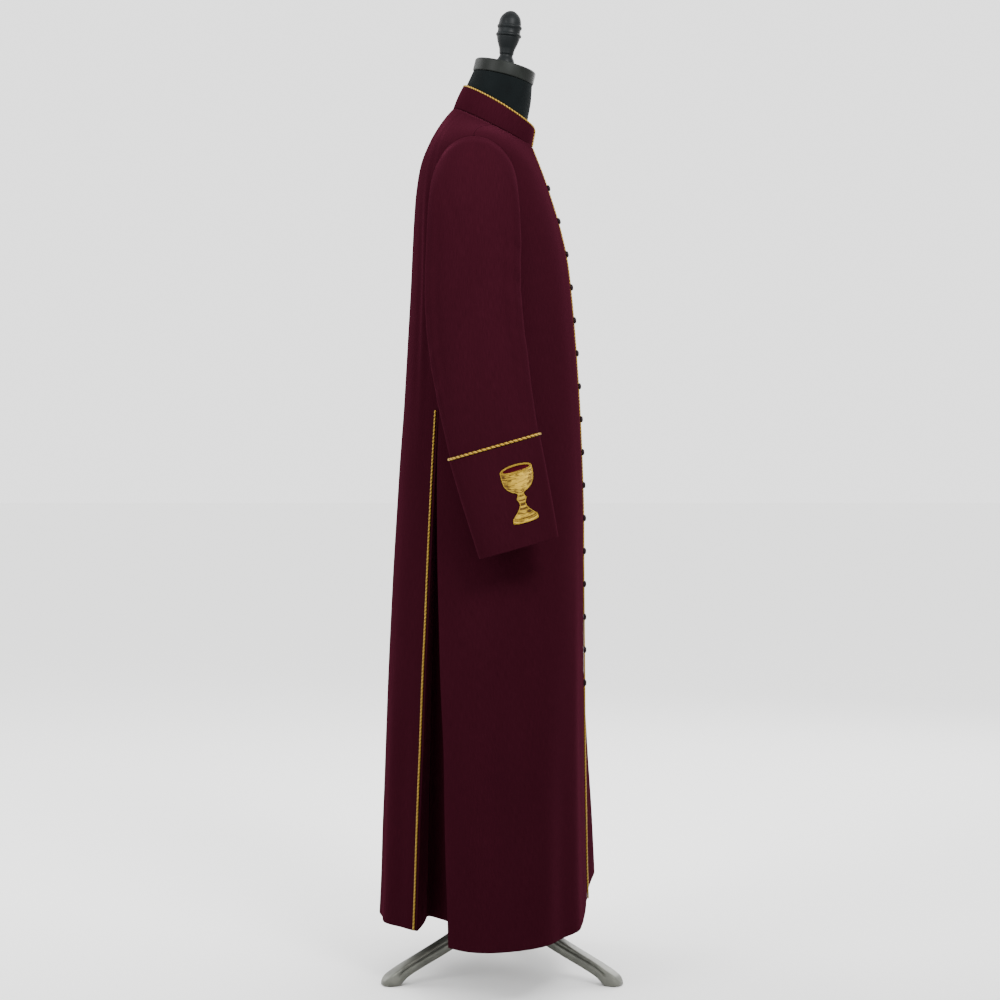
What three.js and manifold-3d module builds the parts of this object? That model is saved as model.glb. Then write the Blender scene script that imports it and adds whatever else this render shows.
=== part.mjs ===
// A clergy cassock worn by a limbless dress form on a tripod stand, as a three.js scene graph.
// Millimetres, +Z up, the garment's front faces -Y and the wearer's right is -X.
// Needs the npm packages three and manifold-3d.
import * as THREE from "three";
import { mergeVertices } from "three/addons/utils/BufferGeometryUtils.js";
import Module from "manifold-3d";

const wasm = await Module();
wasm.setup();

// Driving dimensions
const CLOTH = 2; // thickness of a garment wall
const SEAM = 0.3; // air between two sewn pieces
const LAP = 14; // how far each front runs past the centre line
const LAP_RISES = { from: 45, to: 6 }; // where the right front rises onto the left one, past that lap
const PLEAT_TOP = 963; // height at which the side pleats open
const HEM = 98; // height of the hem at the sides
// How much higher the hem hangs at the centre front: at the closing edge, over what angle it dies
// out on the right front, and on the left front, which it reaches over another angle
const HEM_LIFT = { edge: 22, width: 0.122, left: 58, reach: 0.35 };
const LIFT_FADES = 420; // height at which that lift has died out
const RIGHT = -1; // sign of x on the wearer's right
const LEFT = 1;
const DEGREE = Math.PI / 180;

// A table's rows as objects, from the names of its columns and one list for each row
const table = (names, ...rows) =>
  rows.map((row) => Object.fromEntries(names.split(" ").map((name, i) => [name, row[i]])));

// The garment's body, one row for each section from the hem up to the neckline.
// side, frontZ, backZ: height of the section at the side, centre front and centre back.
// half: half width. front, back: distance of the cloth from the pole, forward is minus.
// mid: depth of the widest point. backHalf: half width that the back panel's arc follows.
// sideBack: depth of the front panel's arc behind its widest point.
// frontEnds, backEnds: angle, from the centre front, where the front and back panels end.
// bow: how the heights run between side and centre: 1 is a level or tilted plane, 2 a saddle.
const BODY = table(
  "side frontZ backZ half front back mid backHalf sideBack frontEnds backEnds bow",
  [98, 98, 98, 315, -141.5, 210, 22, 188, 132, 119.6, 129.6, 2],
  [165, 165, 165, 304, -139.5, 207, 22, 187, 133, 120.4, 129.4, 2],
  [240, 240, 240, 291, -138.5, 205, 22, 185, 135, 121.3, 129, 2],
  [320, 320, 320, 278, -137.5, 202, 22, 183, 136, 122, 128.6, 2],
  [410, 410, 410, 263, -137, 199, 21, 180, 138, 122.9, 128, 2],
  [510, 510, 510, 246, -137, 195.5, 21, 177, 142, 124.4, 127.4, 2],
  [610, 610, 610, 228, -137, 191, 20, 174, 145, 125.6, 126.8, 2],
  [700, 700, 700, 211, -137, 186.5, 20, 171, 146, 126.6, 126.4, 2],
  [790, 790, 790, 194, -137, 181, 20, 168, 146, 127.3, 126, 2],
  [870, 870, 870, 178, -135, 176, 20, 165, 148, 126.8, 125.6, 2],
  [963, 963, 963, 163, -131, 169, 20, 163, 149, 125.2, 125.2, 2],
  [1030, 1030, 1030, 160, -127, 165, 21, 160, 144, 125, 125, 2],
  [1100, 1098, 1100, 162, -122, 161, 24, 162, 137, 125, 125, 2],
  [1170, 1165, 1170, 168, -116, 157, 29, 168, 128, 125, 125, 2],
  [1235, 1222, 1235, 178, -109, 154, 36, 178, 118, 125, 125, 2],
  [1290, 1266, 1292, 189, -99.5, 151, 42, 189, 109, 125, 125, 2],
  [1335, 1300, 1340, 197, -90, 147, 46, 197, 101, 118, 118, 2],
  [1372, 1330, 1385, 203, -80.5, 139, 48, 203, 91, 100, 100, 2],
  [1402, 1354, 1420, 203, -72.5, 125, 49, 203, 76, 90, 90, 2],
  [1421, 1375, 1444, 178, -65, 112, 45, 178, 67, 90, 90, 1.9],
  [1433, 1392, 1461, 140, -58.5, 101, 37, 140, 64, 90, 90, 1.7],
  [1441, 1405, 1473, 102, -53.5, 92, 27, 102, 65, 90, 90, 1.35],
  [1447, 1415, 1482, 71, -50, 84, 17, 71, 67, 90, 90, 1],
);
const NECKLINE = BODY.length - 1;
const PLEAT_ROW = BODY.findIndex((row) => row.side === PLEAT_TOP);
const FRONT_COLUMNS = 14; // beyond the lap
const BACK_COLUMNS = 14;

// A soft fold that stands out of the left front, beside the centre line
const FOLD = { angle: 25 * DEGREE, width: 17 * DEGREE, depth: 35, fades: 860, blend: 0.3 };

// The armhole, an oval seen from the side, and the half widths between which its tool cuts
const ARMHOLE = { y: 46, z: 1325, halfWide: 71, halfHigh: 87, tool: [100, 300] };

// The sleeve's head turns about a point in the underarm, from upright to level
const HEAD = { x: 184, z: 1236, inner: 8, y: 46 };
const HEAD_RINGS = table(
  "turn reach wide blend",
  [8, 172, 71, 0.45],
  [18, 163, 72, 0.8],
  [31, 141, 73.5, 0.97],
  [46, 116, 75, 1],
  [66, 97, 76, 1],
  [90, 90, 77, 1],
);
// The sleeve below its head: centre, half width front to back, half thickness, forward lean in
// degrees, and how full its section is: 2 is an ellipse, more has flatter sides
const SLEEVE = table(
  "z x y wide thick lean full",
  [1175, 233, 47.5, 78, 41, 0, 2],
  [1110, 234, 45, 79, 41, 3, 2.1],
  [1045, 237, 37, 79, 40, 8, 2.2],
  [978, 242, 27, 77, 38, 12, 2.35],
);
const CUFF = table(
  "z x y wide thick lean full",
  [900, 251, 12, 74, 35, 16, 2.5],
  [850, 255, 0, 71.5, 33.5, 16, 2.5],
  [795, 259, -13.5, 68, 32, 16, 2.5],
  [740, 262, -27, 64, 30, 16, 2.5],
);
const CUFF_LAP = 0.28; // how far the sleeve runs inside its cuff, as a share of the cuff's first stretch
const SLEEVE_COLUMNS = 20;

// The standing collar's upper edge, and the rounding of its front corners
const [COLLAR_TOP] = table(
  "side frontZ backZ half front back mid sideBack bow",
  [1484, 1447, 1520, 67, -56, 67, 5, 62, 1],
);
const COLLAR = { gap: 5.5, corner: 9, columns: 30 };

// The pleat's hidden folds at the hem, from the lip that each one hangs behind, how much its hem
// hangs higher, the bevel of its folds and the most that it takes of the stretches on each side,
// the height of the pleat's top and the share of the folds' depth there
const PLEAT = {
  backFold: { x: 81, y: -14 },
  frontFold: { x: 69, y: -50 },
  lift: 10,
  bevel: 7,
  mostOfLip: 0.6,
  mostOfMiddle: 0.3,
  top: 886,
  shallowest: 0.15,
};

// Gold piping: its radius at each edge, and how far it lies from the pleat's lip
const PIPING = { collar: 1.6, front: 1.7, pleat: 1.8, cuff: 2.2, fromLip: 6, sides: 6 };

// Covered buttons down the centre front
const BUTTON = { count: 16, first: 1345, last: 496, radius: 5.5, height: 5, sides: 10, x: -2, shank: 0.75 };

// The dress form: air between it and the garment's inside, for each row of BODY from the hips up
const FORM_GAPS = table(
  "row gap",
  [8, 42], [9, 28], [10, 20], [11, 22], [12, 19], [13, 15], [14, 12], [15, 9], [16, 6],
  [17, 3], [18, 1.4], [19, 1.5], [20, 1.6], [21, 1.6], [22, 2.6],
);
const FORM_BOTTOM = 8; // the row of BODY at which the form is cut off flat
const FORM_COLUMNS = 28;
const FORM_SHOULDER = 186; // the flat arm plates stand at this half width
const FORM_NECK = table(
  "side frontZ backZ half front back mid sideBack bow",
  [1462, 1452, 1488, 63, -43, 74, 15, 59, 1],
  [1500, 1492, 1514, 57, -49.5, 64.5, 7, 57.5, 1],
);
const CAP = { radius: 53.5, height: 22.5, y: -1.4, z: 1535.4, bevel: 2.5, draft: 0.8, sides: 32 };
const CAP_TILT = 14 * DEGREE;
const NECK_TOP = 52; // radius of the neck right under the cap
const FINIAL_TILT = 7 * DEGREE;
const FINIAL_BACK = 2; // how far behind the cap's middle it is screwed in
// Radius and height of the turned finial, from its foot to its tip
const FINIAL = table(
  "r h",
  [16, 0], [15.5, 4], [14.2, 8], [12.2, 11.5], [11.8, 15], [12.5, 20], [13.6, 26.5], [15.8, 32],
  [18.2, 38.5], [19.7, 45], [22.2, 49.8], [20.2, 54], [19.8, 58.5], [21.6, 64], [19.4, 69.5], [18.3, 77],
  [13.4, 85.5], [7, 90.5],
);
const FINIAL_HEIGHT = 92.3;
const FINIAL_RISE = 2.2; // its upright foot clears the tilted cap by this at the middle
const FINIAL_SIDES = 18;
const POLE = { radius: 12.5, bottom: 122.3, sides: 20 };
const HUB = { radius: 25, bottom: 84, top: 122, bevel: 5, sides: 24 };
// A leg, from the hub out to its rounded foot
const LEG = table(
  "r bottom top half",
  [25.5, 87, 109, 11],
  [70, 65, 88.5, 12],
  [125, 40.5, 63, 12],
  [160, 26, 47.5, 12],
  [188, 13, 35, 12.5],
  [206, 0, 26, 14.5],
  [222, 0, 17, 13],
  [230, 1.5, 9, 7],
);
const LEG_CROWN = 0.55; // share of a leg's width that its flat top keeps
const LEG_ANGLES = { leg_left: 0, leg_back_right: 120, leg_front_right: 240 };

// Finishes
const burgundy = new THREE.MeshStandardMaterial({ color: 0x4d1524, roughness: 0.85, metalness: 0 });
const gold = new THREE.MeshStandardMaterial({ color: 0xc79a55, roughness: 0.5, metalness: 0.1 });
const buttonCloth = new THREE.MeshStandardMaterial({ color: 0x241014, roughness: 0.7, metalness: 0 });
const jersey = new THREE.MeshStandardMaterial({ color: 0x15191a, roughness: 0.9, metalness: 0 });
const lacquer = new THREE.MeshStandardMaterial({ color: 0x1c2023, roughness: 0.4, metalness: 0 });
const steel = new THREE.MeshStandardMaterial({ color: 0x8b8c84, roughness: 0.4, metalness: 0.9 });

// Small helpers
const mix = (a, b, t) => a + (b - a) * t;
const clamp = (t, low, high) => Math.min(Math.max(t, low), high);
const smoothstep = (from, to, value) => {
  const t = clamp((value - from) / (to - from), 0, 1);
  return t * t * (3 - 2 * t);
};
const range = (count) => Array.from({ length: count }, (_, i) => i);

// A smooth curve through one column of a table, at a fractional row
function column(table, name, row) {
  const i = clamp(Math.floor(row), 0, table.length - 2);
  const at = (k) => table[clamp(k, 0, table.length - 1)][name];
  const [p, q, r, s] = [at(i - 1), at(i), at(i + 1), at(i + 2)];
  const t = row - i;
  const bend = (2 * p - 5 * q + 4 * r - s) * t + (3 * q - p - 3 * r + s) * t * t;
  return q + 0.5 * t * (r - p + bend);
}

// A row between two rows of a table
const mixRows = (a, b, t) =>
  Object.fromEntries(Object.keys(a).map((name) => [name, mix(a[name], b[name], t)]));

// A point of the oval section: the angle runs from the centre front round to the centre back
function sectionPoint(row, angle, hand, back = false) {
  const across = back ? row.backHalf : row.half;
  const c = Math.cos(angle);
  const behind = back ? row.back - row.mid : row.sideBack;
  const y = c > 0 ? row.mid + (row.front - row.mid) * c : row.mid - behind * c;
  const end = c > 0 ? row.frontZ : row.backZ;
  return new THREE.Vector3(hand * across * Math.sin(angle), y, mix(row.side, end, Math.abs(c) ** row.bow));
}

// All the columns of the body's table at a fractional row
function bodyRow(row) {
  const at = clamp(row, 0, NECKLINE);
  return Object.fromEntries(Object.keys(BODY[0]).map((name) => [name, column(BODY, name, at)]));
}

// The garment's outer face before its layers are lifted, with the hem's rise and the fold in front
function bodyPoint(row, angle, hand, back = false) {
  const values = bodyRow(row);
  const point = sectionPoint(values, angle, hand, back);
  if (back) return point;
  const toLeft = hand * angle;
  const leftShare = smoothstep(-FOLD.blend, FOLD.blend, toLeft);
  const c = Math.max(Math.cos(angle), 0);
  const onRight = HEM_LIFT.edge * Math.exp(-((toLeft / HEM_LIFT.width) ** 2));
  const onLeft = mix(HEM_LIFT.edge, HEM_LIFT.left * c * c, smoothstep(0, HEM_LIFT.reach, toLeft));
  point.z += (toLeft < 0 ? onRight : onLeft) * (1 - smoothstep(HEM, LIFT_FADES, values.side));
  const near = Math.exp(-(((toLeft - FOLD.angle) / FOLD.width) ** 2));
  point.y -= FOLD.depth * near * leftShare * (1 - smoothstep(HEM, FOLD.fades, values.side));
  return point;
}

// The outward direction of a face, from how its points move with the row and the angle
function faceNormal(pointAt, row, angle, hand) {
  const step = 0.02;
  const low = clamp(row - step, 0, NECKLINE);
  const high = clamp(row + step, 0, NECKLINE);
  const up = pointAt(high, angle).sub(pointAt(low, angle));
  const along = pointAt(row, angle + step).sub(pointAt(row, angle - step));
  return along.cross(up).multiplyScalar(hand).normalize();
}

function bodyNormal(row, angle, hand, back = false) {
  return faceNormal((r, a) => bodyPoint(r, a, hand, back), row, angle, hand);
}

// The row and angle at which the body's side has a given depth and height
function findOnBody(y, z) {
  let row = PLEAT_ROW;
  let angle = Math.PI / 2;
  const bisect = (low, high, tooSmall) => {
    for (let i = 0; i < 40; i++) {
      const middle = (low + high) / 2;
      if (tooSmall(middle)) low = middle;
      else high = middle;
    }
    return (low + high) / 2;
  };
  for (let round = 0; round < 30; round++) {
    row = bisect(PLEAT_ROW, NECKLINE, (r) => bodyPoint(r, angle, RIGHT).z < z);
    angle = bisect(0, Math.PI, (a) => bodyPoint(row, a, RIGHT).y < y);
  }
  return { row, angle };
}

// A solid from a list of points and a list of triangles, facing out
function solidFrom(points, triangles) {
  const volume = triangles.reduce((sum, [a, b, c]) => {
    return sum + points[a].dot(points[b].clone().cross(points[c]));
  }, 0);
  const order = volume < 0 ? ([a, b, c]) => [a, c, b] : (t) => t;
  const geometry = new THREE.BufferGeometry();
  const numbers = points.flatMap((p) => [p.x, p.y, p.z]);
  geometry.setAttribute("position", new THREE.Float32BufferAttribute(numbers, 3));
  geometry.setIndex(triangles.map(order).flat());
  return geometry;
}

// A closed solid through rings of points, capped flat at both ends
function loft(rings) {
  const sides = rings[0].length;
  const points = rings.flat();
  const triangles = [];
  for (let i = 0; i + 1 < rings.length; i++) {
    for (let j = 0; j < sides; j++) {
      const [a, b] = [i * sides + j, i * sides + ((j + 1) % sides)];
      triangles.push([a, b, a + sides], [b, b + sides, a + sides]);
    }
  }
  for (const [ring, start] of [[rings[0], 0], [rings.at(-1), points.length - sides]]) {
    const centre = ring.reduce((sum, p) => sum.add(p), new THREE.Vector3()).divideScalar(sides);
    const hub = points.push(centre) - 1;
    for (let j = 0; j < sides; j++) {
      const pair = [start + j, start + ((j + 1) % sides)];
      triangles.push(start === 0 ? [hub, pair[1], pair[0]] : [hub, pair[0], pair[1]]);
    }
  }
  return solidFrom(points, triangles);
}

// A closed cloth wall between an outer and an inner grid of points
function wall(outer, inner, around) {
  const rows = outer.length;
  const columns = outer[0].length;
  const last = around ? columns : columns - 1;
  const points = [...outer.flat(), ...inner.flat()];
  const at = (side, i, j) => side * rows * columns + i * columns + (j % columns);
  const triangles = [];
  const quad = (a, b, c, d) => triangles.push([a, b, c], [a, c, d]);
  for (let i = 0; i + 1 < rows; i++) {
    for (let j = 0; j < last; j++) {
      quad(at(0, i, j), at(0, i, j + 1), at(0, i + 1, j + 1), at(0, i + 1, j));
      quad(at(1, i, j), at(1, i + 1, j), at(1, i + 1, j + 1), at(1, i, j + 1));
    }
  }
  for (let j = 0; j < last; j++) {
    quad(at(0, 0, j), at(1, 0, j), at(1, 0, j + 1), at(0, 0, j + 1));
    quad(at(0, rows - 1, j), at(0, rows - 1, j + 1), at(1, rows - 1, j + 1), at(1, rows - 1, j));
  }
  if (!around) {
    for (let i = 0; i + 1 < rows; i++) {
      quad(at(0, i, 0), at(0, i + 1, 0), at(1, i + 1, 0), at(1, i, 0));
      quad(at(0, i, last), at(1, i, last), at(1, i + 1, last), at(0, i + 1, last));
    }
  }
  return solidFrom(points, triangles);
}

// The same grid moved along its own normals
function moved(grid, distance, around) {
  const columns = grid[0].length;
  const row = (i) => grid[clamp(i, 0, grid.length - 1)];
  const wrap = (j) => (around ? (j + columns) % columns : clamp(j, 0, columns - 1));
  return grid.map((line, i) =>
    line.map((point, j) => {
      const up = row(i + 1)[j].clone().sub(row(i - 1)[j]);
      const along = line[wrap(j + 1)].clone().sub(line[wrap(j - 1)]);
      return point.clone().addScaledVector(along.cross(up).normalize(), distance);
    }),
  );
}

// A round cord along a list of points
function cord(path, radius, around = false) {
  const { sides } = PIPING;
  const count = path.length;
  const at = (i) => (around ? path[(i + count) % count] : path[clamp(i, 0, count - 1)]);
  let side = null;
  const rings = path.map((point, i) => {
    const along = at(i + 1).clone().sub(at(i - 1)).normalize();
    const seed = side ?? (Math.abs(along.z) > 0.9 ? new THREE.Vector3(1, 0, 0) : new THREE.Vector3(0, 0, 1));
    side = seed.clone().addScaledVector(along, -seed.dot(along)).normalize();
    const other = along.clone().cross(side);
    return range(sides).map((k) => {
      const turn = (2 * Math.PI * k) / sides;
      const out = side.clone().multiplyScalar(radius * Math.cos(turn));
      return point.clone().add(out).addScaledVector(other, radius * Math.sin(turn));
    });
  });
  if (!around) return loft(rings);
  const points = rings.flat();
  const triangles = [];
  for (let i = 0; i < count; i++) {
    for (let k = 0; k < sides; k++) {
      const next = ((i + 1) % count) * sides;
      const [a, b] = [i * sides + k, i * sides + ((k + 1) % sides)];
      triangles.push([a, b, next + k], [b, next + ((k + 1) % sides), next + k]);
    }
  }
  return solidFrom(points, triangles);
}

// Cuts a solid with the library's exact booleans
function toManifold(geometry) {
  const bare = geometry.clone();
  bare.deleteAttribute("normal");
  bare.deleteAttribute("uv");
  const merged = mergeVertices(bare, 1e-4);
  return new wasm.Manifold(
    new wasm.Mesh({
      numProp: 3,
      vertProperties: new Float32Array(merged.attributes.position.array),
      triVerts: new Uint32Array(merged.index.array),
    }),
  );
}

function cut(geometry, ...tools) {
  let solid = toManifold(geometry);
  for (const tool of tools) solid = solid.subtract(toManifold(tool));
  const mesh = solid.getMesh();
  const result = new THREE.BufferGeometry();
  result.setAttribute("position", new THREE.BufferAttribute(new Float32Array(mesh.vertProperties), 3));
  result.setIndex(new THREE.BufferAttribute(new Uint32Array(mesh.triVerts), 1));
  return result;
}

const part = new THREE.Group();
function add(name, geometry, material) {
  const mesh = new THREE.Mesh(geometry, material);
  mesh.name = name;
  part.add(mesh);
  return mesh;
}

// How far a right front point is lifted to lie on the left front
function lapLift(x) {
  return (CLOTH + SEAM) * smoothstep(-LAP - LAP_RISES.from, -LAP - LAP_RISES.to, x);
}

// A wall from rows of points on its outer face, each with its outward normal
function panel(rows) {
  const inside = ({ face, normal }) => face.clone().addScaledVector(normal, -CLOTH);
  return wall(rows.map((line) => line.map(({ face }) => face)), rows.map((line) => line.map(inside)), false);
}

function frontPanel(hand) {
  const rows = range(BODY.length).map((row) => {
    const { half, frontEnds } = BODY[row];
    const lap = Math.asin(LAP / half);
    const end = frontEnds * DEGREE - SEAM / 1.5 / half;
    const rest = range(FRONT_COLUMNS).map((j) => mix(lap, end, (j + 1) / FRONT_COLUMNS));
    return [-lap, 0, lap, ...rest].map((angle) => {
      const point = bodyPoint(row, angle, hand);
      const lift = hand === RIGHT ? lapLift(point.x) : 0;
      const normal = bodyNormal(row, angle, hand);
      return { face: point.addScaledVector(normal, lift), normal };
    });
  });
  return panel(rows);
}

function backPanel() {
  const rows = range(BODY.length).map((row) => {
    const { half, backEnds } = BODY[row];
    const start = backEnds * DEGREE + SEAM / 1.5 / half;
    return range(BACK_COLUMNS + 1).map((j) => {
      const angle = mix(start, 2 * Math.PI - start, j / BACK_COLUMNS);
      return { face: bodyPoint(row, angle, RIGHT, true), normal: bodyNormal(row, angle, RIGHT, true) };
    });
  });
  return panel(rows);
}

function armholeTool(hand) {
  const outline = range(SLEEVE_COLUMNS).map((j) => {
    const turn = (2 * Math.PI * j) / SLEEVE_COLUMNS;
    return [ARMHOLE.y + ARMHOLE.halfWide * Math.sin(turn), ARMHOLE.z + ARMHOLE.halfHigh * Math.cos(turn)];
  });
  return loft(ARMHOLE.tool.map((x) => outline.map(([y, z]) => new THREE.Vector3(hand * x, y, z))));
}

// A ring of the sleeve or cuff, an oval that leans forward, made larger by some distance
function sleeveRing({ z, x, y, wide, thick, lean, full }, hand, out = 0) {
  const tilt = lean * DEGREE;
  const fuller = (share) => Math.sign(share) * Math.abs(share) ** (2 / full);
  return range(SLEEVE_COLUMNS).map((j) => {
    const turn = (2 * Math.PI * j) / SLEEVE_COLUMNS;
    const along = (wide + out) * fuller(Math.sin(turn));
    return new THREE.Vector3(
      hand * (x + (thick + out) * fuller(Math.cos(turn))),
      y + along * Math.cos(tilt),
      z - along * Math.sin(tilt),
    );
  });
}

function headRing({ turn, reach, wide, blend }, seamRing, hand) {
  const tilt = turn * DEGREE;
  const half = (reach - HEAD.inner) / 2;
  return seamRing.map((seam, j) => {
    const around = (2 * Math.PI * j) / SLEEVE_COLUMNS;
    const out = HEAD.inner + half * (1 + Math.cos(around));
    const target = new THREE.Vector3(
      hand * (HEAD.x + out * Math.sin(tilt)),
      HEAD.y + wide * Math.sin(around),
      HEAD.z + out * Math.cos(tilt),
    );
    return seam.clone().lerp(target, blend);
  });
}

function sleeve(hand) {
  const seamRing = range(SLEEVE_COLUMNS).map((j) => {
    const turn = (2 * Math.PI * j) / SLEEVE_COLUMNS;
    const y = ARMHOLE.y + (ARMHOLE.halfWide - 1.5 * SEAM) * Math.sin(turn);
    const z = ARMHOLE.z + (ARMHOLE.halfHigh - 1.5 * SEAM) * Math.cos(turn);
    const { row, angle } = findOnBody(y, z);
    return bodyPoint(row, angle, hand);
  });
  const insideCuff = mixRows(CUFF[0], CUFF[1], CUFF_LAP);
  const rings = [
    seamRing,
    ...HEAD_RINGS.map((ring) => headRing(ring, seamRing, hand)),
    ...[...SLEEVE, CUFF[0], insideCuff].map((ring) => sleeveRing(ring, hand)),
  ];
  return wall(rings, moved(rings, hand * CLOTH, true), true);
}

function cuff(hand) {
  const rings = CUFF.map((ring) => sleeveRing(ring, hand, CLOTH + SEAM));
  return wall(rings, moved(rings, hand * CLOTH, true), true);
}

function cuffPiping(hand) {
  const top = CUFF[0];
  const above = SLEEVE.at(-1);
  const rise = PIPING.cuff + SEAM;
  const raised = mixRows(top, above, rise / (above.z - top.z));
  return cord(sleeveRing(raised, hand, rise), PIPING.cuff, true);
}

// The collar's face at a height share between its seam and its top edge
function collarPoint(share, angle) {
  const base = sectionPoint(BODY[NECKLINE], angle, RIGHT);
  const top = sectionPoint(COLLAR_TOP, angle, RIGHT);
  return base.lerp(top, share).add(new THREE.Vector3(0, 0, 1.5 * SEAM));
}

// The collar's height share at an angle: full, but for its rounded front corners
function collarShare(angle) {
  const height = COLLAR_TOP.frontZ - BODY[NECKLINE].frontZ;
  const fromEnd = (angle - collarStart()) * BODY[NECKLINE].half;
  const inside = clamp(COLLAR.corner - fromEnd, 0, COLLAR.corner);
  return 1 - (COLLAR.corner - Math.sqrt(COLLAR.corner ** 2 - inside ** 2)) / height;
}

function collarStart() {
  return Math.asin(COLLAR.gap / BODY[NECKLINE].half);
}

// Angles round the collar, with two extra ones in each rounded corner
function collarAngles() {
  const start = collarStart();
  const corner = COLLAR.corner / BODY[NECKLINE].half;
  const half = [0, 0.35, 1].map((t) => start + corner * t);
  const rest = COLLAR.columns / 2;
  half.push(...range(rest).map((j) => mix(start + corner, Math.PI, (j + 1) / rest)));
  return [...half, ...half.slice(0, -1).reverse().map((angle) => 2 * Math.PI - angle)];
}

function collar() {
  const angles = collarAngles();
  const grid = [0, 0.5, 1].map((share) =>
    angles.map((angle) => collarPoint(share * collarShare(Math.min(angle, 2 * Math.PI - angle)), angle)),
  );
  return wall(grid, moved(grid, CLOTH, false), false);
}

// Angle and height share along the collar's edge, up one front end, round the top and down the other
function collarEdge() {
  const angles = collarAngles();
  const end = collarStart();
  const rise = [0.08, 0.32, 0.56].map((share) => [end, share]);
  const top = angles.map((angle) => [angle, collarShare(Math.min(angle, 2 * Math.PI - angle))]);
  return [...rise, ...top, ...rise.map(([, share]) => [2 * Math.PI - end, share]).reverse()];
}

function collarPiping() {
  const edge = collarEdge().map(([angle, share]) => ({ angle, point: collarPoint(share, angle) }));
  const path = edge.map(({ angle, point }, i) => {
    const before = edge[Math.max(i - 1, 0)].point;
    const after = edge[Math.min(i + 1, edge.length - 1)].point;
    const along = after.clone().sub(before).normalize();
    const lean = collarPoint(1, angle).sub(collarPoint(0, angle));
    const step = 0.02;
    const round = collarPoint(0.5, angle + step).sub(collarPoint(0.5, angle - step));
    const inward = round.cross(lean).normalize();
    const off = inward.clone().cross(along).normalize();
    return point.clone().addScaledVector(off, PIPING.collar + 1.5 * SEAM).addScaledVector(inward, CLOTH / 2);
  });
  return cord(path, PIPING.collar);
}

// The front's cord lies on the right front, along its edge
function frontPiping() {
  const radius = PIPING.front;
  const path = range(BODY.length).map((row) => {
    const angle = -Math.asin((LAP - radius / 2) / BODY[row].half);
    const point = bodyPoint(row, angle, RIGHT);
    return point.addScaledVector(bodyNormal(row, angle, RIGHT), CLOTH + 2 * SEAM + radius);
  });
  return cord(path, radius);
}

// The back panel's arc length for one radian is close to its half width, so a short arc is a small angle
function pleatPiping(hand) {
  const radius = PIPING.pleat;
  const path = range(PLEAT_ROW + 1).map((row) => {
    const angle = BODY[row].backEnds * DEGREE + PIPING.fromLip / BODY[row].backHalf;
    const point = bodyPoint(row, angle, hand, true);
    return point.addScaledVector(bodyNormal(row, angle, hand, true), radius + SEAM);
  });
  return cord(path, radius);
}

// The underlay of an inverted pleat: it hangs behind the two lips and fills the opening between them
function pleat(hand) {
  const depth = CLOTH + 1.5 * SEAM;
  const rows = range(PLEAT_ROW + 1).filter((row) => BODY[row].side < PLEAT.top);
  const grid = rows.map((row) => {
    const share = (PLEAT_TOP - BODY[row].side) / (PLEAT_TOP - HEM);
    const backAngle = BODY[row].backEnds * DEGREE;
    const frontAngle = BODY[row].frontEnds * DEGREE;
    const backLip = bodyPoint(row, backAngle, RIGHT, true);
    const frontLip = bodyPoint(row, frontAngle, RIGHT);
    backLip.addScaledVector(bodyNormal(row, backAngle, RIGHT, true), -depth);
    frontLip.addScaledVector(bodyNormal(row, frontAngle, RIGHT), -depth);
    const lift = PLEAT.lift * share;
    const deep = mix(PLEAT.shallowest, 1, share);
    const fold = (lip, { x, y }) => lip.clone().add(new THREE.Vector3(x * deep, y * deep, lift));
    const backFold = fold(backLip, PLEAT.backFold);
    const frontFold = fold(frontLip, PLEAT.frontFold);
    const bevel = (from, to, most) =>
      from.clone().lerp(to, Math.min(most, PLEAT.bevel / from.distanceTo(to)));
    const corners = [
      bevel(backFold, backLip, PLEAT.mostOfLip),
      bevel(backFold, frontFold, PLEAT.mostOfMiddle),
      bevel(frontFold, backFold, PLEAT.mostOfMiddle),
      bevel(frontFold, frontLip, PLEAT.mostOfLip),
    ];
    const middle = (a, b) => a.clone().lerp(b, 0.5);
    const line = [
      backLip,
      middle(backLip, corners[0]),
      corners[0],
      corners[1],
      middle(corners[1], corners[2]),
      corners[2],
      corners[3],
      middle(corners[3], frontLip),
      frontLip,
    ];
    return line.map((point) => point.setX(-hand * point.x));
  });
  return wall(grid, moved(grid, hand * -CLOTH, false), false);
}

function button(index) {
  const { count, first, last, radius, height, sides, x, shank } = BUTTON;
  const z = mix(first, last, index / (count - 1));
  let low = 0;
  let high = NECKLINE;
  for (let i = 0; i < 40; i++) {
    const middle = (low + high) / 2;
    if (bodyPoint(middle, 0, RIGHT).z < z) low = middle;
    else high = middle;
  }
  const angle = Math.asin(-x / column(BODY, "half", low));
  const normal = bodyNormal(low, angle, RIGHT);
  const seat = bodyPoint(low, angle, RIGHT).addScaledVector(normal, CLOTH + shank);
  const profile = [
    new THREE.Vector2(0, 0),
    new THREE.Vector2(radius * 0.7, 0),
    new THREE.Vector2(radius, height * 0.4),
    new THREE.Vector2(radius * 0.68, height * 0.85),
    new THREE.Vector2(0, height),
  ];
  const geometry = new THREE.LatheGeometry(profile, sides);
  const turn = new THREE.Quaternion().setFromUnitVectors(new THREE.Vector3(0, 1, 0), normal);
  const mesh = add(`button_${String(index + 1).padStart(2, "0")}`, geometry, buttonCloth);
  mesh.position.copy(seat);
  mesh.quaternion.copy(turn);
}

// The tilted plane on which the neck cap sits
function capPoint(radius, angle, height) {
  const local = new THREE.Vector3(radius * Math.sin(angle), -radius * Math.cos(angle), height);
  return local.applyAxisAngle(new THREE.Vector3(1, 0, 0), CAP_TILT).add(new THREE.Vector3(0, CAP.y, CAP.z));
}

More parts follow.
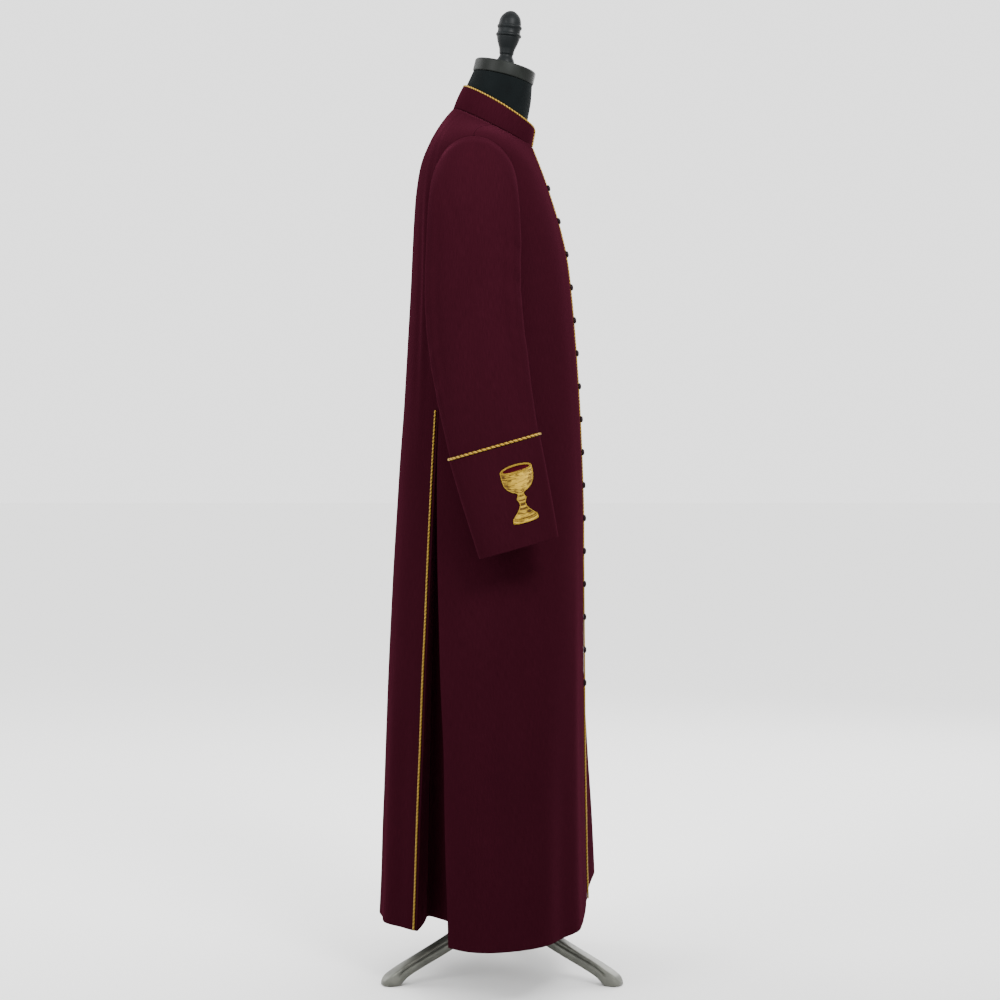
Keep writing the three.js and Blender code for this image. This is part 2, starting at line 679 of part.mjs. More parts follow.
function formTorso() {
  const angles = range(FORM_COLUMNS).map((j) => (2 * Math.PI * j) / FORM_COLUMNS);
  const plate = (point) => point.setX(clamp(point.x, -FORM_SHOULDER, FORM_SHOULDER));
  const trunk = FORM_GAPS.map(({ row, gap }) => {
    const inset = -(CLOTH + gap);
    return angles.map((angle) => {
      const hand = angle <= Math.PI ? RIGHT : LEFT;
      const near = Math.min(angle, 2 * Math.PI - angle);
      const normal = faceNormal((r, a) => sectionPoint(bodyRow(r), a, hand), row, near, hand);
      const point = plate(sectionPoint(BODY[row], near, hand).addScaledVector(normal, inset));
      return row === FORM_BOTTOM ? point.setZ(BODY[row].side) : point;
    });
  });
  const neck = FORM_NECK.map((row) => angles.map((angle) => sectionPoint(row, angle, RIGHT)));
  const top = angles.map((angle) => capPoint(NECK_TOP, -angle, -SEAM));
  return loft([...trunk, ...neck, top]);
}

function neckCap() {
  const { radius, height, bevel, draft, sides } = CAP;
  const ring = (r, h) => range(sides).map((j) => capPoint(r, (2 * Math.PI * j) / sides, h));
  return loft([ring(radius - draft, 0), ring(radius, height - bevel), ring(radius - bevel, height)]);
}

function finial() {
  const profile = [new THREE.Vector2(0, 0), ...FINIAL.map(({ r, h }) => new THREE.Vector2(r, h))];
  profile.push(new THREE.Vector2(0, FINIAL_HEIGHT));
  const mesh = add("finial", new THREE.LatheGeometry(profile, FINIAL_SIDES), lacquer);
  mesh.position.copy(capPoint(FINIAL_BACK, Math.PI, CAP.height + FINIAL_RISE));
  mesh.rotation.x = Math.PI / 2 + FINIAL_TILT;
}

function pole(top) {
  const height = top - POLE.bottom;
  const mesh = add("pole", new THREE.CylinderGeometry(POLE.radius, POLE.radius, height, POLE.sides), steel);
  mesh.rotation.x = Math.PI / 2;
  mesh.position.z = POLE.bottom + height / 2;
}

function hub() {
  const { radius, bottom, top, bevel, sides } = HUB;
  const profile = [
    [0, bottom], [radius - bevel, bottom], [radius, bottom + bevel],
    [radius, top - bevel], [radius - bevel, top], [0, top],
  ].map(([r, h]) => new THREE.Vector2(r, h));
  add("stand_hub", new THREE.LatheGeometry(profile, sides), steel).rotation.x = Math.PI / 2;
}

function leg(name, angle) {
  const rings = LEG.map(({ r, bottom, top, half }) => {
    const shoulder = mix(bottom, top, 0.6);
    const corners = [
      [-half, bottom], [half, bottom], [half, shoulder],
      [half * LEG_CROWN, top], [-half * LEG_CROWN, top], [-half, shoulder],
    ];
    return corners.map(([across, z]) => new THREE.Vector3(r, across, z));
  });
  add(name, loft(rings), steel).rotation.z = angle * DEGREE;
}

// The garment
const armholes = [armholeTool(RIGHT), armholeTool(LEFT)];
add("front_right", cut(frontPanel(RIGHT), armholes[0]), burgundy);
add("front_left", cut(frontPanel(LEFT), armholes[1]), burgundy);
add("back", cut(backPanel(), ...armholes), burgundy);
add("collar", collar(), burgundy);
add("piping_collar", collarPiping(), gold);
add("piping_front", frontPiping(), gold);
for (const [side, hand] of [["right", RIGHT], ["left", LEFT]]) {
  add(`sleeve_${side}`, sleeve(hand), burgundy);
  add(`cuff_${side}`, cuff(hand), burgundy);
  add(`pleat_${side}`, pleat(hand), burgundy);
  add(`piping_cuff_${side}`, cuffPiping(hand), gold);
  add(`piping_pleat_${side}`, pleatPiping(hand), gold);
}
for (let index = 0; index < BUTTON.count; index++) button(index);

// The dress form and its stand
add("form_torso", formTorso(), jersey);
add("neck_cap", neckCap(), lacquer);
finial();
pole(BODY[FORM_BOTTOM].side - SEAM);
hub();
for (const [name, angle] of Object.entries(LEG_ANGLES)) leg(name, angle);

// The origin is on the floor, under the middle of the whole object
const box = new THREE.Box3().setFromObject(part, true);
part.position.set(-(box.min.x + box.max.x) / 2, -(box.min.y + box.max.y) / 2, -box.min.z);

export default part;
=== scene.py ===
import functools
import math

import bpy
import numpy as np
from mathutils import Matrix, Vector


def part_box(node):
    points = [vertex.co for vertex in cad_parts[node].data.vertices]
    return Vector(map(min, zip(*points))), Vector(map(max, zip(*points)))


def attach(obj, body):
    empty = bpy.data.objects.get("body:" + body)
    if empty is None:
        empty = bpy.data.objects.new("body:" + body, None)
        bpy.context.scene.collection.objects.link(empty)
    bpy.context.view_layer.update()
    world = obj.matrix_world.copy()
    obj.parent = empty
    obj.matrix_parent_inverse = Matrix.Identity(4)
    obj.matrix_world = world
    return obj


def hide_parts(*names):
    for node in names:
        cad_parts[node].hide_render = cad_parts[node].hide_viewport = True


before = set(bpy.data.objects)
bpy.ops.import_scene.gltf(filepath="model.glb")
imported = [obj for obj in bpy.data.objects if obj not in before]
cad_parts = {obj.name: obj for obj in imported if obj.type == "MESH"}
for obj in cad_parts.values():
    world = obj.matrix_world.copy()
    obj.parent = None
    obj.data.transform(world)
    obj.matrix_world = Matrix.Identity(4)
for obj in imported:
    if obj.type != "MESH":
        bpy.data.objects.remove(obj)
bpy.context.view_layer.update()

# Looks of a clergy cassock on a limbless dress form. Tables and shapes are in millimetres from the
# pole's axis and the floor, the front towards -Y and the wearer's right towards -X. Meshes are in metres.
pole_low, pole_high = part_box("pole")
POLE_X = (pole_low[0] + pole_high[0]) / 2
POLE_Y = (pole_low[1] + pole_high[1]) / 2
MM = 0.001
TAU = 2 * math.pi
DEGREE = math.pi / 180
RIGHT = -1
LEFT = 1
SIDES = {RIGHT: "right", LEFT: "left"}

# Driving dimensions
CLOTH = 2.0
SLEEVE_CLOTH = 1.8
SEAM = 0.3
LAP = 14.0
LAP_RISE = {"starts": 45.0, "ends": 6.0}
PLEAT_TOP = 963.0
HEM = 98.0
HEM_LIFT = {"edge": 22.0, "width": 0.122, "left": 58.0, "reach": 0.35}
LIFT_FADES = 420.0
STEP = 6.0  # spacing of a garment mesh's points
EDGE_STEPS = np.array([0.0, 0.35, 0.8, 1.5, 2.6])
EDGE_ROUND = 1.1
NEAR = np.array([-0.01, 0, 0.01])  # angles beside a point, for the surface's normal there


def named(columns, *rows):
    """A table as one array for each named column."""
    return {name: np.array([row[i] for row in rows], float) for i, name in enumerate(columns.split())}


# The garment's body, one row for each section from the hem up to the neckline
BODY = named(
    "side front_z back_z half front back mid back_half side_back front_ends back_ends bow",
    (98, 98, 98, 315, -141.5, 210, 22, 188, 132, 119.6, 129.6, 2),
    (165, 165, 165, 304, -139.5, 207, 22, 187, 133, 120.4, 129.4, 2),
    (240, 240, 240, 291, -138.5, 205, 22, 185, 135, 121.3, 129, 2),
    (320, 320, 320, 278, -137.5, 202, 22, 183, 136, 122, 128.6, 2),
    (410, 410, 410, 263, -137, 199, 21, 180, 138, 122.9, 128, 2),
    (510, 510, 510, 246, -137, 195.5, 21, 177, 142, 124.4, 127.4, 2),
    (610, 610, 610, 228, -137, 191, 20, 174, 145, 125.6, 126.8, 2),
    (700, 700, 700, 211, -137, 186.5, 20, 171, 146, 126.6, 126.4, 2),
    (790, 790, 790, 194, -137, 181, 20, 168, 146, 127.3, 126, 2),
    (870, 870, 870, 178, -135, 176, 20, 165, 148, 126.8, 125.6, 2),
    (963, 963, 963, 163, -131, 169, 20, 163, 149, 125.2, 125.2, 2),
    (1030, 1030, 1030, 160, -127, 165, 21, 160, 144, 125, 125, 2),
    (1100, 1098, 1100, 162, -122, 161, 24, 162, 137, 125, 125, 2),
    (1170, 1165, 1170, 168, -116, 157, 29, 168, 128, 125, 125, 2),
    (1235, 1222, 1235, 178, -109, 154, 36, 178, 118, 125, 125, 2),
    (1290, 1266, 1292, 189, -99.5, 151, 42, 189, 109, 125, 125, 2),
    (1335, 1300, 1340, 197, -90, 147, 46, 197, 101, 118, 118, 2),
    (1372, 1330, 1385, 203, -80.5, 139, 48, 203, 91, 100, 100, 2),
    (1402, 1354, 1420, 203, -72.5, 125, 49, 203, 76, 90, 90, 2),
    (1421, 1375, 1444, 178, -65, 112, 45, 178, 67, 90, 90, 1.9),
    (1433, 1392, 1461, 140, -58.5, 101, 37, 140, 64, 90, 90, 1.7),
    (1441, 1405, 1473, 102, -53.5, 92, 27, 102, 65, 90, 90, 1.35),
    (1447, 1415, 1482, 71, -50, 84, 17, 71, 67, 90, 90, 1),
)
NECKLINE = len(BODY["side"]) - 1
PLEAT_ROW = int(np.flatnonzero(BODY["side"] == PLEAT_TOP)[0])
FOLD = {"angle": 25 * DEGREE, "width": 17 * DEGREE, "depth": 35.0, "fades": 860.0, "blend": 0.3}

# Soft folds of the hanging cloth: where each is round the body, its half width and its height there,
# and between which heights it grows from nothing to that height. Angles run from the centre front
# towards the wearer's left; a minus height is a trough.
FRONT_FOLDS = named(
    "angle width height low high drift",
    (-27, 6.0, 5.0, 98, 900, 4),
    (-41, 7.0, -4.0, 98, 780, 3),
    (-58, 8.0, 3.5, 98, 840, 2),
    (-78, 9.0, -4.5, 98, 700, 0),
    (-100, 8.0, 3.0, 98, 620, -3),
    (46, 7.0, -5.0, 98, 820, -3),
    (62, 8.0, 4.5, 98, 880, -2),
    (82, 9.0, -4.0, 98, 720, 0),
    (104, 8.0, 3.2, 98, 640, 3),
)
BACK_FOLDS = named(
    "angle width height low high drift",
    (-143, 5.5, -3.0, 98, 800, 2),
    (-156, 7.0, 3.5, 98, 900, 1),
    (-172, 7.0, -3.5, 98, 760, 0),
    (-188, 8.0, 3.0, 98, 860, -1),
    (-203, 7.0, -3.2, 98, 700, -1),
    (-216, 5.5, 2.5, 98, 820, -2),
)
FLAT_FRONT = {"share": 0.25, "ends": 0.02, "fades": 0.12}  # the folds' share at the centre front, by angle

# Upright folds behind the shoulders: angle, half width, height, and half their length about a middle
SHOULDER_FOLDS = named(
    "angle width height middle long",
    (-131, 2.2, 2.4, 1215, 150),
    (-136.5, 2.4, -2.2, 1190, 170),
    (-142, 3.0, 2.6, 1160, 190),
    (-149, 3.4, -1.8, 1180, 160),
    (-211, 3.4, -1.8, 1180, 160),
    (-218, 3.0, 2.6, 1160, 190),
    (-223.5, 2.4, -2.2, 1190, 170),
    (-229, 2.2, 2.4, 1215, 150),
)

# Small unevenness of each sheet: its height, its scale across and along the sheet, and its seed
RIPPLES = {
    "front": (0.5, 2, 0.4, 11),
    "back": (0.5, 2, 0.4, 31),
    "sleeve": (0.45, 90, 1, 51),
    "cuff": (0.2, 90, 1.5, 71),
}
CHEST = {"low": 1000.0, "high": 1300.0}  # where the ripples of the body grow calmer

ARMHOLE = {"y": 46.0, "z": 1325.0, "half_wide": 71.0, "half_high": 87.0, "from_middle": 100.0}
HEAD = {"x": 184.0, "z": 1236.0, "inner": 8.0, "y": 46.0}
HEAD_RINGS = named(
    "turn reach wide blend",
    (8, 172, 71, 0.45),
    (18, 163, 72, 0.8),
    (31, 141, 73.5, 0.97),
    (46, 116, 75, 1),
    (66, 97, 76, 1),
    (90, 90, 77, 1),
)
SLEEVE = named(
    "z x y wide thick lean full",
    (1175, 233, 47.5, 78, 41, 0, 2.0),
    (1110, 234, 45, 79, 41, 3, 2.1),
    (1045, 237, 37, 79, 40, 8, 2.2),
    (978, 242, 27, 77, 38, 12, 2.35),
    (900, 251, 12, 74, 35, 16, 2.5),
)
CUFF = named(
    "z x y wide thick lean full",
    (900, 251, 12, 74, 35, 16, 2.5),
    (850, 255, 0, 71.5, 33.5, 16, 2.5),
    (795, 259, -13.5, 68, 32, 16, 2.5),
    (740, 262, -27, 64, 30, 16, 2.5),
)
CUFF_LAP = 0.28
SLEEVE_COLUMNS = 112
SLEEVE_STEPS = 9  # rows of points between two rings
FLAT_RADIUS = {"crease": 78.0, "sleeve": 68.0, "cuff": 62.0}  # of the tubes that the sheets lie flat from
PUFF = {"height": 0.7, "from_seam": 7.0, "width": 5.0}
SMOOTH_END = 60.0
CUFF_SMOOTH = 30.0

# Soft creases of the sleeves: height, angle round the sleeve from its outer side towards the back,
# half length and half width, slope and depth of each
SLEEVE_CREASES = named(
    "z turn long wide slope depth",
    (1228, -62, 30, 8, 0.5, -2.0),
    (1202, -48, 40, 9, 0.4, 2.0),
    (1170, -70, 26, 7, 0.3, -2.2),
    (1142, -55, 34, 8, 0.5, 1.8),
    (1090, -66, 30, 8, 0.2, -1.8),
    (1050, 64, 34, 9, -0.5, 2.0),
    (1022, 52, 38, 8, -0.6, -1.8),
    (985, 66, 28, 8, -0.4, 1.6),
    (1120, 70, 30, 8, -0.3, -1.4),
    (1290, 30, 60, 16, 2.4, -1.2),
    (1150, -58, 9, 150, 0, 2.2),
    (1130, -46, 8, 140, 0, -1.8),
    (1000, -38, 8, 90, 0, 1.3),
    (1180, 60, 8, 150, 0, 1.8),
    (1120, 49, 9, 140, 0, -1.6),
    (1010, 62, 8, 90, 0, 1.5),
)

COLLAR_TOP = {
    "bow": 1, "side": 1484, "front_z": 1447, "back_z": 1520, "half": 67, "front": -56, "back": 67, "mid": 5,
    "back_half": 67, "side_back": 62,
}
COLLAR = {"gap": 5.5, "corner": 9.0, "bulge": 1.0}
PLEAT = {
    "back_fold": (81.0, -14.0), "front_fold": (69.0, -50.0), "lift": 10.0, "top": 925.0, "shallowest": 0.15,
    "sway": 2.5, "bend": 0.09, "rows": 130, "columns": 60,
}
PIPING = {"collar": 1.6, "front": 1.7, "pleat": 1.8, "cuff": 2.2, "from_lip": 6.0}
CORD = {"pitch": 3.4, "lay": 0.5, "thick": 0.53, "sides": 5, "per_turn": 7}  # pitch and sizes in radii
BUTTON = {"count": 16, "first": 1345.0, "last": 496.0, "x": -2.0, "segments": 28, "soft": 1.2}
BUTTON_PROFILE = [(0.01, 0), (4.4, 0), (5.4, 0.8), (5.7, 2.0), (5.2, 3.6), (3.6, 4.8), (0.01, 5.2)]

# The embroidered chalice, a plain design of a bowl, a knop and a flared foot: half width by height
CHALICE = named(
    "height half",
    (0, 20.5), (4, 20), (9, 15.5), (15, 9.5), (21, 5.6), (27, 4), (31, 5.6), (35, 7.6), (39, 5.6), (42.5, 4),
    (45.5, 6.5), (49, 13.5), (54, 19.5), (61, 23.6), (69, 25.4), (77, 25.8), (84, 26),
)
CHALICE_TOP = CHALICE["height"][-1]
CHALICE_AT = {
    "low": 781.0, "high": 859.0, "u_low": -22.0, "u_high": -25.0, "sag": 4.6, "rim": 6.6, "lip": 3.0,
}
CHALICE_BANDS = ((41.8, 5.0), (28.6, 5.0), (4.6, 19.6))
STITCH = {"pitch": 0.62, "length": 7.5, "short": 5.0, "proud": 0.42, "base": 0.55, "half": 0.56, "seed": 401}
STITCH_DOME = np.array([0.35, 0.9, 1.0, 0.9, 0.35])

# The dress form: how far inside the body's rows it stays, and two sections of its neck
FORM_GAPS = named(
    "row gap",
    (8, 42), (9, 28), (10, 20), (11, 22), (12, 19), (13, 15), (14, 12), (15, 9), (16, 6), (17, 3),
    (18, 1.4), (19, 1.5), (20, 1.6), (21, 1.6), (22, 2.6),
)
FORM_SHOULDER = 186.0
FORM_GRID = {"rows": 150, "columns": 96, "flat_radius": 60.0}
FORM_NECK = named(
    "side front_z back_z half front back mid back_half side_back bow",
    (1462, 1452, 1488, 63, -43, 74, 15, 63, 59, 1),
    (1500, 1492, 1514, 57, -49.5, 64.5, 7, 57, 57.5, 1),
)
NECK_TOP = 52.0
CAP = {"radius": 53.5, "height": 22.5, "y": -1.4, "z": 1535.4, "tilt": 14 * DEGREE}
FINIAL_TILT = 7 * DEGREE
FINIAL_BACK = 2.0
FINIAL_RISE = 2.2
FINIAL = [
    (0.01, 0), (15.6, 0), (16, 1.2), (15.5, 4), (14.2, 8), (12.2, 11.5), (11.4, 13.4), (11.4, 16.2),
    (12.4, 17.4), (12.7, 21), (13.6, 26.5), (15.8, 32), (18.2, 38.5), (19.7, 44.5), (19.9, 46.8), (21.7, 47.9),
    (22.2, 49.7), (21.6, 51.5), (20.1, 52.7), (19.6, 56), (19.7, 60.2), (21, 62), (21.6, 64), (21, 66),
    (19.5, 67.4), (19.4, 71), (18.3, 77), (16.4, 81.5), (13.4, 85.5), (9.5, 89), (5, 91.6), (0.01, 92.3),
]
HUB = [
    (0.01, 84.2), (12, 84.2), (12, 88), (19.5, 88), (24.8, 92), (24.8, 97), (23.4, 98), (23.4, 114),
    (24.8, 115), (24.8, 119.5), (20, 121.8), (0.01, 121.8),
]
LEGS = {"leg_left": 0, "leg_back_right": 120, "leg_front_right": 240}
LEG_ROWS = 90
LEG = named(
    "r bottom top half",
    (25.5, 87, 109, 11),
    (70, 65, 88.5, 12),
    (125, 40.5, 63, 12),
    (160, 26, 47.5, 12),
    (188, 13, 35, 12.5),
    (206, 0, 26, 14.5),
    (222, 0, 17, 13),
    (230, 1.5, 9, 7),
)
# A leg's flank: height, half width, and half width where the groove runs
LEG_FLANK = [
    (0.0, 0.9, 0.9), (0.05, 1.0, 1.0), (0.56, 1.0, 1.0), (0.62, 0.99, 0.97), (0.64, 0.98, 0.7),
    (0.77, 0.95, 0.66), (0.79, 0.94, 0.9), (0.84, 0.93, 0.94), (0.92, 0.89, 0.91), (0.98, 0.78, 0.8),
    (1.0, 0.6, 0.62),
]

# Each piece's cut in metres: width, length, area, how it is held and what it rests on
CUTS = {
    "front_right": (0.485, 1.495, 0.512, "draped", ["form_torso"]),
    "front_left": (0.51, 1.495, 0.509, "draped", ["form_torso"]),
    "back": (0.46, 1.485, 0.456, "draped", ["form_torso"]),
    "sleeve_right": (0.425, 0.565, 0.188, "hung", ["front_right", "back"]),
    "sleeve_left": (0.425, 0.565, 0.188, "hung", ["front_left", "back"]),
    "cuff_right": (0.388, 0.168, 0.0593, "hung", ["sleeve_right"]),
    "cuff_left": (0.388, 0.168, 0.0593, "hung", ["sleeve_left"]),
    "pleat_right": (0.32, 0.84, 0.143, "folded", ["back", "front_right"]),
    "pleat_left": (0.32, 0.84, 0.143, "folded", ["back", "front_left"]),
    "collar": (0.45, 0.042, 0.0169, "draped", ["form_torso"]),
}

WINE = (0.0138, 0.002, 0.0042)
GOLD = (0.3, 0.19, 0.022)
DARK_GOLD = (0.07, 0.028, 0.002)
THREAD = (0.29, 0.185, 0.014)
THREAD_DARK = (0.045, 0.018, 0.0004)
WINE_THREAD = (0.026, 0.0005, 0.0032)
WINE_THREAD_DARK = (0.008, 0.0003, 0.0012)
JERSEY = (0.002, 0.0028, 0.003)
BUTTON_CLOTH = (0.006, 0.002, 0.0028)
BLACK_LACQUER = (0.0044, 0.0052, 0.0045)
BLACK_WOOD = (0.0028, 0.0035, 0.0038)
STEEL = (0.104, 0.106, 0.092)
PALE = (0.93, 0.93, 0.925)
YARN = {"width": 0.00062, "slant": 0.6, "weft": 1.4}
KNIT = {"wale": 0.0011, "course": 0.0009}

# Place, target, size, power and spread of each light, and the backdrop's strength and the floor's half size
LIGHTS = {
    "key": ((-2.0, -0.9, 2.5), (0, 0, 1.35), 1.0, 17, 60 * DEGREE),
    "fill": ((-2.0, 1.9, 2.4), (0, 0, 1.35), 1.2, 10, 60 * DEGREE),
    "far_side": ((3.0, -1.5, 2.4), (0, 0, 0.9), 2.2, 60, math.pi),
    "behind": ((1.6, 3.0, 2.6), (0, 0, 0.9), 2.2, 60, math.pi),
}
BACKDROP = 2.2
FLOOR = {"half": 30.0, "z": -0.0004}

# The photograph's view: level, from the wearer's right, with the frame shifted a little down
CAMERA = {"distance": 4.1, "across": 0.0034, "height": 0.915, "shift": -0.061, "lens": 85.8, "sensor": 36.0}


def mix(a, b, t):
    return a + (b - a) * t


def smoothstep(low, high, value):
    t = np.clip((value - low) / (high - low), 0, 1)
    return t * t * (3 - 2 * t)


def bell(value, width):
    return np.exp(-((value / width) ** 2))


def turns_of(count):
    """Even angles of a whole turn."""
    return np.arange(count) * TAU / count


def spline(values, row):
    """A smooth curve through evenly numbered values."""
    row = np.asarray(row, float)
    last = len(values) - 1
    i = np.clip(np.floor(row).astype(int), 0, last - 1)
    p, q, r, s = (values[np.clip(i + k, 0, last)] for k in (-1, 0, 1, 2))
    t = row - i
    if values.ndim > 1:
        t = t.reshape(t.shape + (1,) * (values.ndim - 1))
    return q + 0.5 * t * (r - p + (2 * p - 5 * q + 4 * r - s) * t + (3 * q - p - 3 * r + s) * t * t)


def table_row(table, row):
    return {name: spline(values, row) for name, values in table.items()}


def body_row(row):
    return table_row(BODY, np.clip(row, 0, NECKLINE))


def section_point(values, toward_left, back=False):
    """A point of an oval section, at an angle from the centre front towards the wearer's left."""
    across = values["back_half"] if back else values["half"]
    c = np.cos(toward_left)
    behind = values["back"] - values["mid"] if back else values["side_back"]
    y = np.where(c > 0, values["mid"] + (values["front"] - values["mid"]) * c, values["mid"] - behind * c)
    end = np.where(c > 0, values["front_z"], values["back_z"])
    x = across * np.sin(toward_left)
    z = mix(values["side"], end, np.abs(c) ** values["bow"])
    return np.stack(np.broadcast_arrays(x, y, z), axis=-1)


def body_point(row, toward_left, back=False):
    """The garment's outer face, with the hem's rise and the standing fold of the left front."""
    values = body_row(row)
    point = section_point(values, toward_left, back)
    if back:
        return point
    c = np.maximum(np.cos(toward_left), 0)
    on_right = HEM_LIFT["edge"] * bell(toward_left, HEM_LIFT["width"])
    on_left = mix(HEM_LIFT["edge"], HEM_LIFT["left"] * c * c, smoothstep(0, HEM_LIFT["reach"], toward_left))
    rise = np.where(toward_left < 0, on_right, on_left)
    point[..., 2] += rise * (1 - smoothstep(HEM, LIFT_FADES, values["side"]))
    left_share = smoothstep(-FOLD["blend"], FOLD["blend"], toward_left)
    low = 1 - smoothstep(HEM, FOLD["fades"], values["side"])
    point[..., 1] -= FOLD["depth"] * bell(toward_left - FOLD["angle"], FOLD["width"]) * left_share * low
    return point


def unit(vectors):
    return vectors / np.maximum(np.linalg.norm(vectors, axis=-1, keepdims=True), 1e-12)


def grid_normals(grid, closed=False):
    """Normals of a grid of points: across its columns, then up its rows."""
    if closed:
        across = np.roll(grid, -1, axis=1) - np.roll(grid, 1, axis=1)
    else:
        across = np.gradient(grid, axis=1)
    return unit(np.cross(across, np.gradient(grid, axis=0)))


def lengths(grid, axis):
    """Distance along one direction of a grid, from its first line."""
    steps = np.linalg.norm(np.diff(grid, axis=axis), axis=-1)
    start = np.zeros_like(np.take(steps, [0], axis=axis))
    return np.concatenate([start, np.cumsum(steps, axis=axis)], axis=axis)


def new_object(name, points, faces, uvs=None, shade=None):
    """A smooth mesh. Points and texture places are in millimetres, from the pole's axis."""
    placed = np.asarray(points, float) * MM + np.array([POLE_X, POLE_Y, 0.0])
    mesh = bpy.data.meshes.new(name)
    mesh.from_pydata(placed.tolist(), [], [list(map(int, face)) for face in faces])
    if uvs is not None:
        layer = mesh.uv_layers.new(name="cloth")
        loops = np.empty(len(mesh.loops), int)
        mesh.loops.foreach_get("vertex_index", loops)
        layer.data.foreach_set("uv", (np.asarray(uvs, float)[loops] * MM).ravel())
    if shade is not None:
        attribute = mesh.attributes.new("shade", "FLOAT", "POINT")
        attribute.data.foreach_set("value", np.asarray(shade, float))
    mesh.shade_smooth()
    mesh.validate()
    mesh.update()
    piece = bpy.data.objects.new(name, mesh)
    bpy.context.collection.objects.link(piece)
    return piece


def grid_faces(rows, columns, closed=False, flip=False, ring=False):
    """Faces of a grid. Closed joins its last column to its first, and ring its last row to its first."""
    row = np.arange(rows if ring else rows - 1)
    column = np.arange(columns if closed else columns - 1)
    i, j = np.meshgrid(row, column, indexing="ij")
    k, n = (j + 1) % columns, (i + 1) % rows
    quads = np.stack([i * columns + j, i * columns + k, n * columns + k, n * columns + j], axis=-1)
    quads = quads.reshape(-1, 4)
    return quads[:, ::-1] if flip else quads


def capped_faces(rows, columns, flip=False):
    """Faces of a closed tube and of its two ends."""
    low = list(range(columns))
    high = list(range((rows - 1) * columns, rows * columns))
    ends = [low, high[::-1]] if flip else [low[::-1], high]
    return grid_faces(rows, columns, closed=True, flip=flip).tolist() + ends


def grid_object(name, grid, closed=False, flip=False, keep=None, uvs=None):
    rows, columns = grid.shape[:2]
    faces = grid_faces(rows, columns, closed, flip)
    if keep is not None:
        faces = faces[keep.ravel()[faces].all(axis=1)]
    if uvs is None:
        uvs = np.stack([lengths(grid, 1), lengths(grid, 0)], axis=-1)
    used = np.unique(faces)
    new_index = np.full(rows * columns, -1)
    new_index[used] = np.arange(len(used))
    return new_object(name, grid.reshape(-1, 3)[used], new_index[faces], uvs.reshape(-1, 2)[used])


def thicken(piece, thickness):
    """Gives a sheet its wall, inwards from its outer face."""
    solid = piece.modifiers.new("cloth_thickness", "SOLIDIFY")
    solid.thickness = thickness * MM
    solid.offset = -1.0
    solid.use_even_offset = False
    return piece


def finish_piece(piece, slot, material, *nodes):
    piece.data.materials.append(material)
    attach(piece, "root")
    if nodes:
        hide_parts(*nodes)
    return piece


def with_edges(end, count, size, first=True):
    """Even steps from 0 to an end that is size away, and close ones at the edges for a rounded fold."""
    steps = EDGE_STEPS * (end / size)
    inner = np.linspace(0, end, count)
    inner = inner[end - inner > steps[-1] * 1.5]
    if first:
        inner = np.concatenate([steps, inner[inner > steps[-1] * 1.5]])
    return np.concatenate([inner, (end - steps)[::-1]])


def edge_drop(distance):
    """How far a cloth's face falls away towards a rounded edge."""
    inside = np.clip(EDGE_ROUND - distance, 0, EDGE_ROUND)
    return EDGE_ROUND - np.sqrt(EDGE_ROUND**2 - inside**2)


def from_ends(along, axis):
    """Distance from the nearer end of each line, from the distances to its first end."""
    return np.minimum(along, np.take(along, [-1], axis=axis) - along)


def body_rows():
    """Fractional rows of the body, about one step apart, and closer at the hem's edge."""
    parts = []
    for i in range(NECKLINE):
        rise = max(BODY["side"][i + 1] - BODY["side"][i], BODY["back_z"][i + 1] - BODY["back_z"][i])
        parts.append(np.linspace(i, i + 1, max(3, int(round(rise / STEP))), endpoint=False))
    rows = np.concatenate(parts + [[NECKLINE]])
    edge = EDGE_STEPS / (BODY["side"][1] - BODY["side"][0])
    return np.concatenate([edge, rows[rows > edge[-1] * 1.3]])


def folds(table, toward_left, z):
    """Height of the soft folds at each point."""
    total = np.zeros(np.broadcast(toward_left, z).shape)
    for angle, width, height, low, high, drift in zip(*table.values()):
        share = 1 - smoothstep(low, high, z)
        centre = (angle + drift * (1 - share)) * DEGREE
        spread = width * DEGREE * (0.7 + 0.5 * share)
        total += height * share**1.3 * bell(toward_left - centre, spread)
    return total


def shoulder_folds(toward_left, z):
    """Height of the folds that run up and down behind the shoulders."""
    total = np.zeros(np.broadcast(toward_left, z).shape)
    for angle, width, height, middle, long in zip(*SHOULDER_FOLDS.values()):
        total += height * bell(toward_left - angle * DEGREE, width * DEGREE) * bell(z - middle, long)
    return total


def ripple(kind, across, along, hand=0):
    """A small smooth unevenness from a few seeded waves."""
    height, across_scale, along_scale, seed = RIPPLES[kind]
    a, b = across * across_scale, along * along_scale
    draw = np.random.default_rng(seed + hand)
    total = np.zeros(np.broadcast(a, b).shape)
    for _ in range(7):
        ka, kb = draw.uniform(0.006, 0.03, 2) * draw.choice([-1, 1], 2)
        total += draw.uniform(0.4, 1.0) * np.sin(ka * a + kb * b + draw.uniform(0, TAU))
    return height * total / 4


def bisect(low, high, too_low, halvings=26):
    """The values between two ends at which a test stops being true."""
    for _ in range(halvings):
        middle = (low + high) / 2
        small = too_low(middle)
        low, high = np.where(small, middle, low), np.where(small, high, middle)
    return (low + high) / 2


def find_on_body(y, z, hand):
    """The points of the body's side that have these depths and heights."""
    lowest, highest = np.full_like(y, PLEAT_ROW), np.full_like(y, NECKLINE)
    front, back = np.zeros_like(y), np.full_like(y, math.pi)
    angle = back / 2
    for _ in range(14):
        row = bisect(lowest, highest, lambda at: body_point(at, -angle)[..., 2] < z)
        angle = bisect(front, back, lambda at: body_point(row, -at)[..., 1] < y)
    point = body_point(row, -angle)
    point[..., 0] *= -hand
    return point


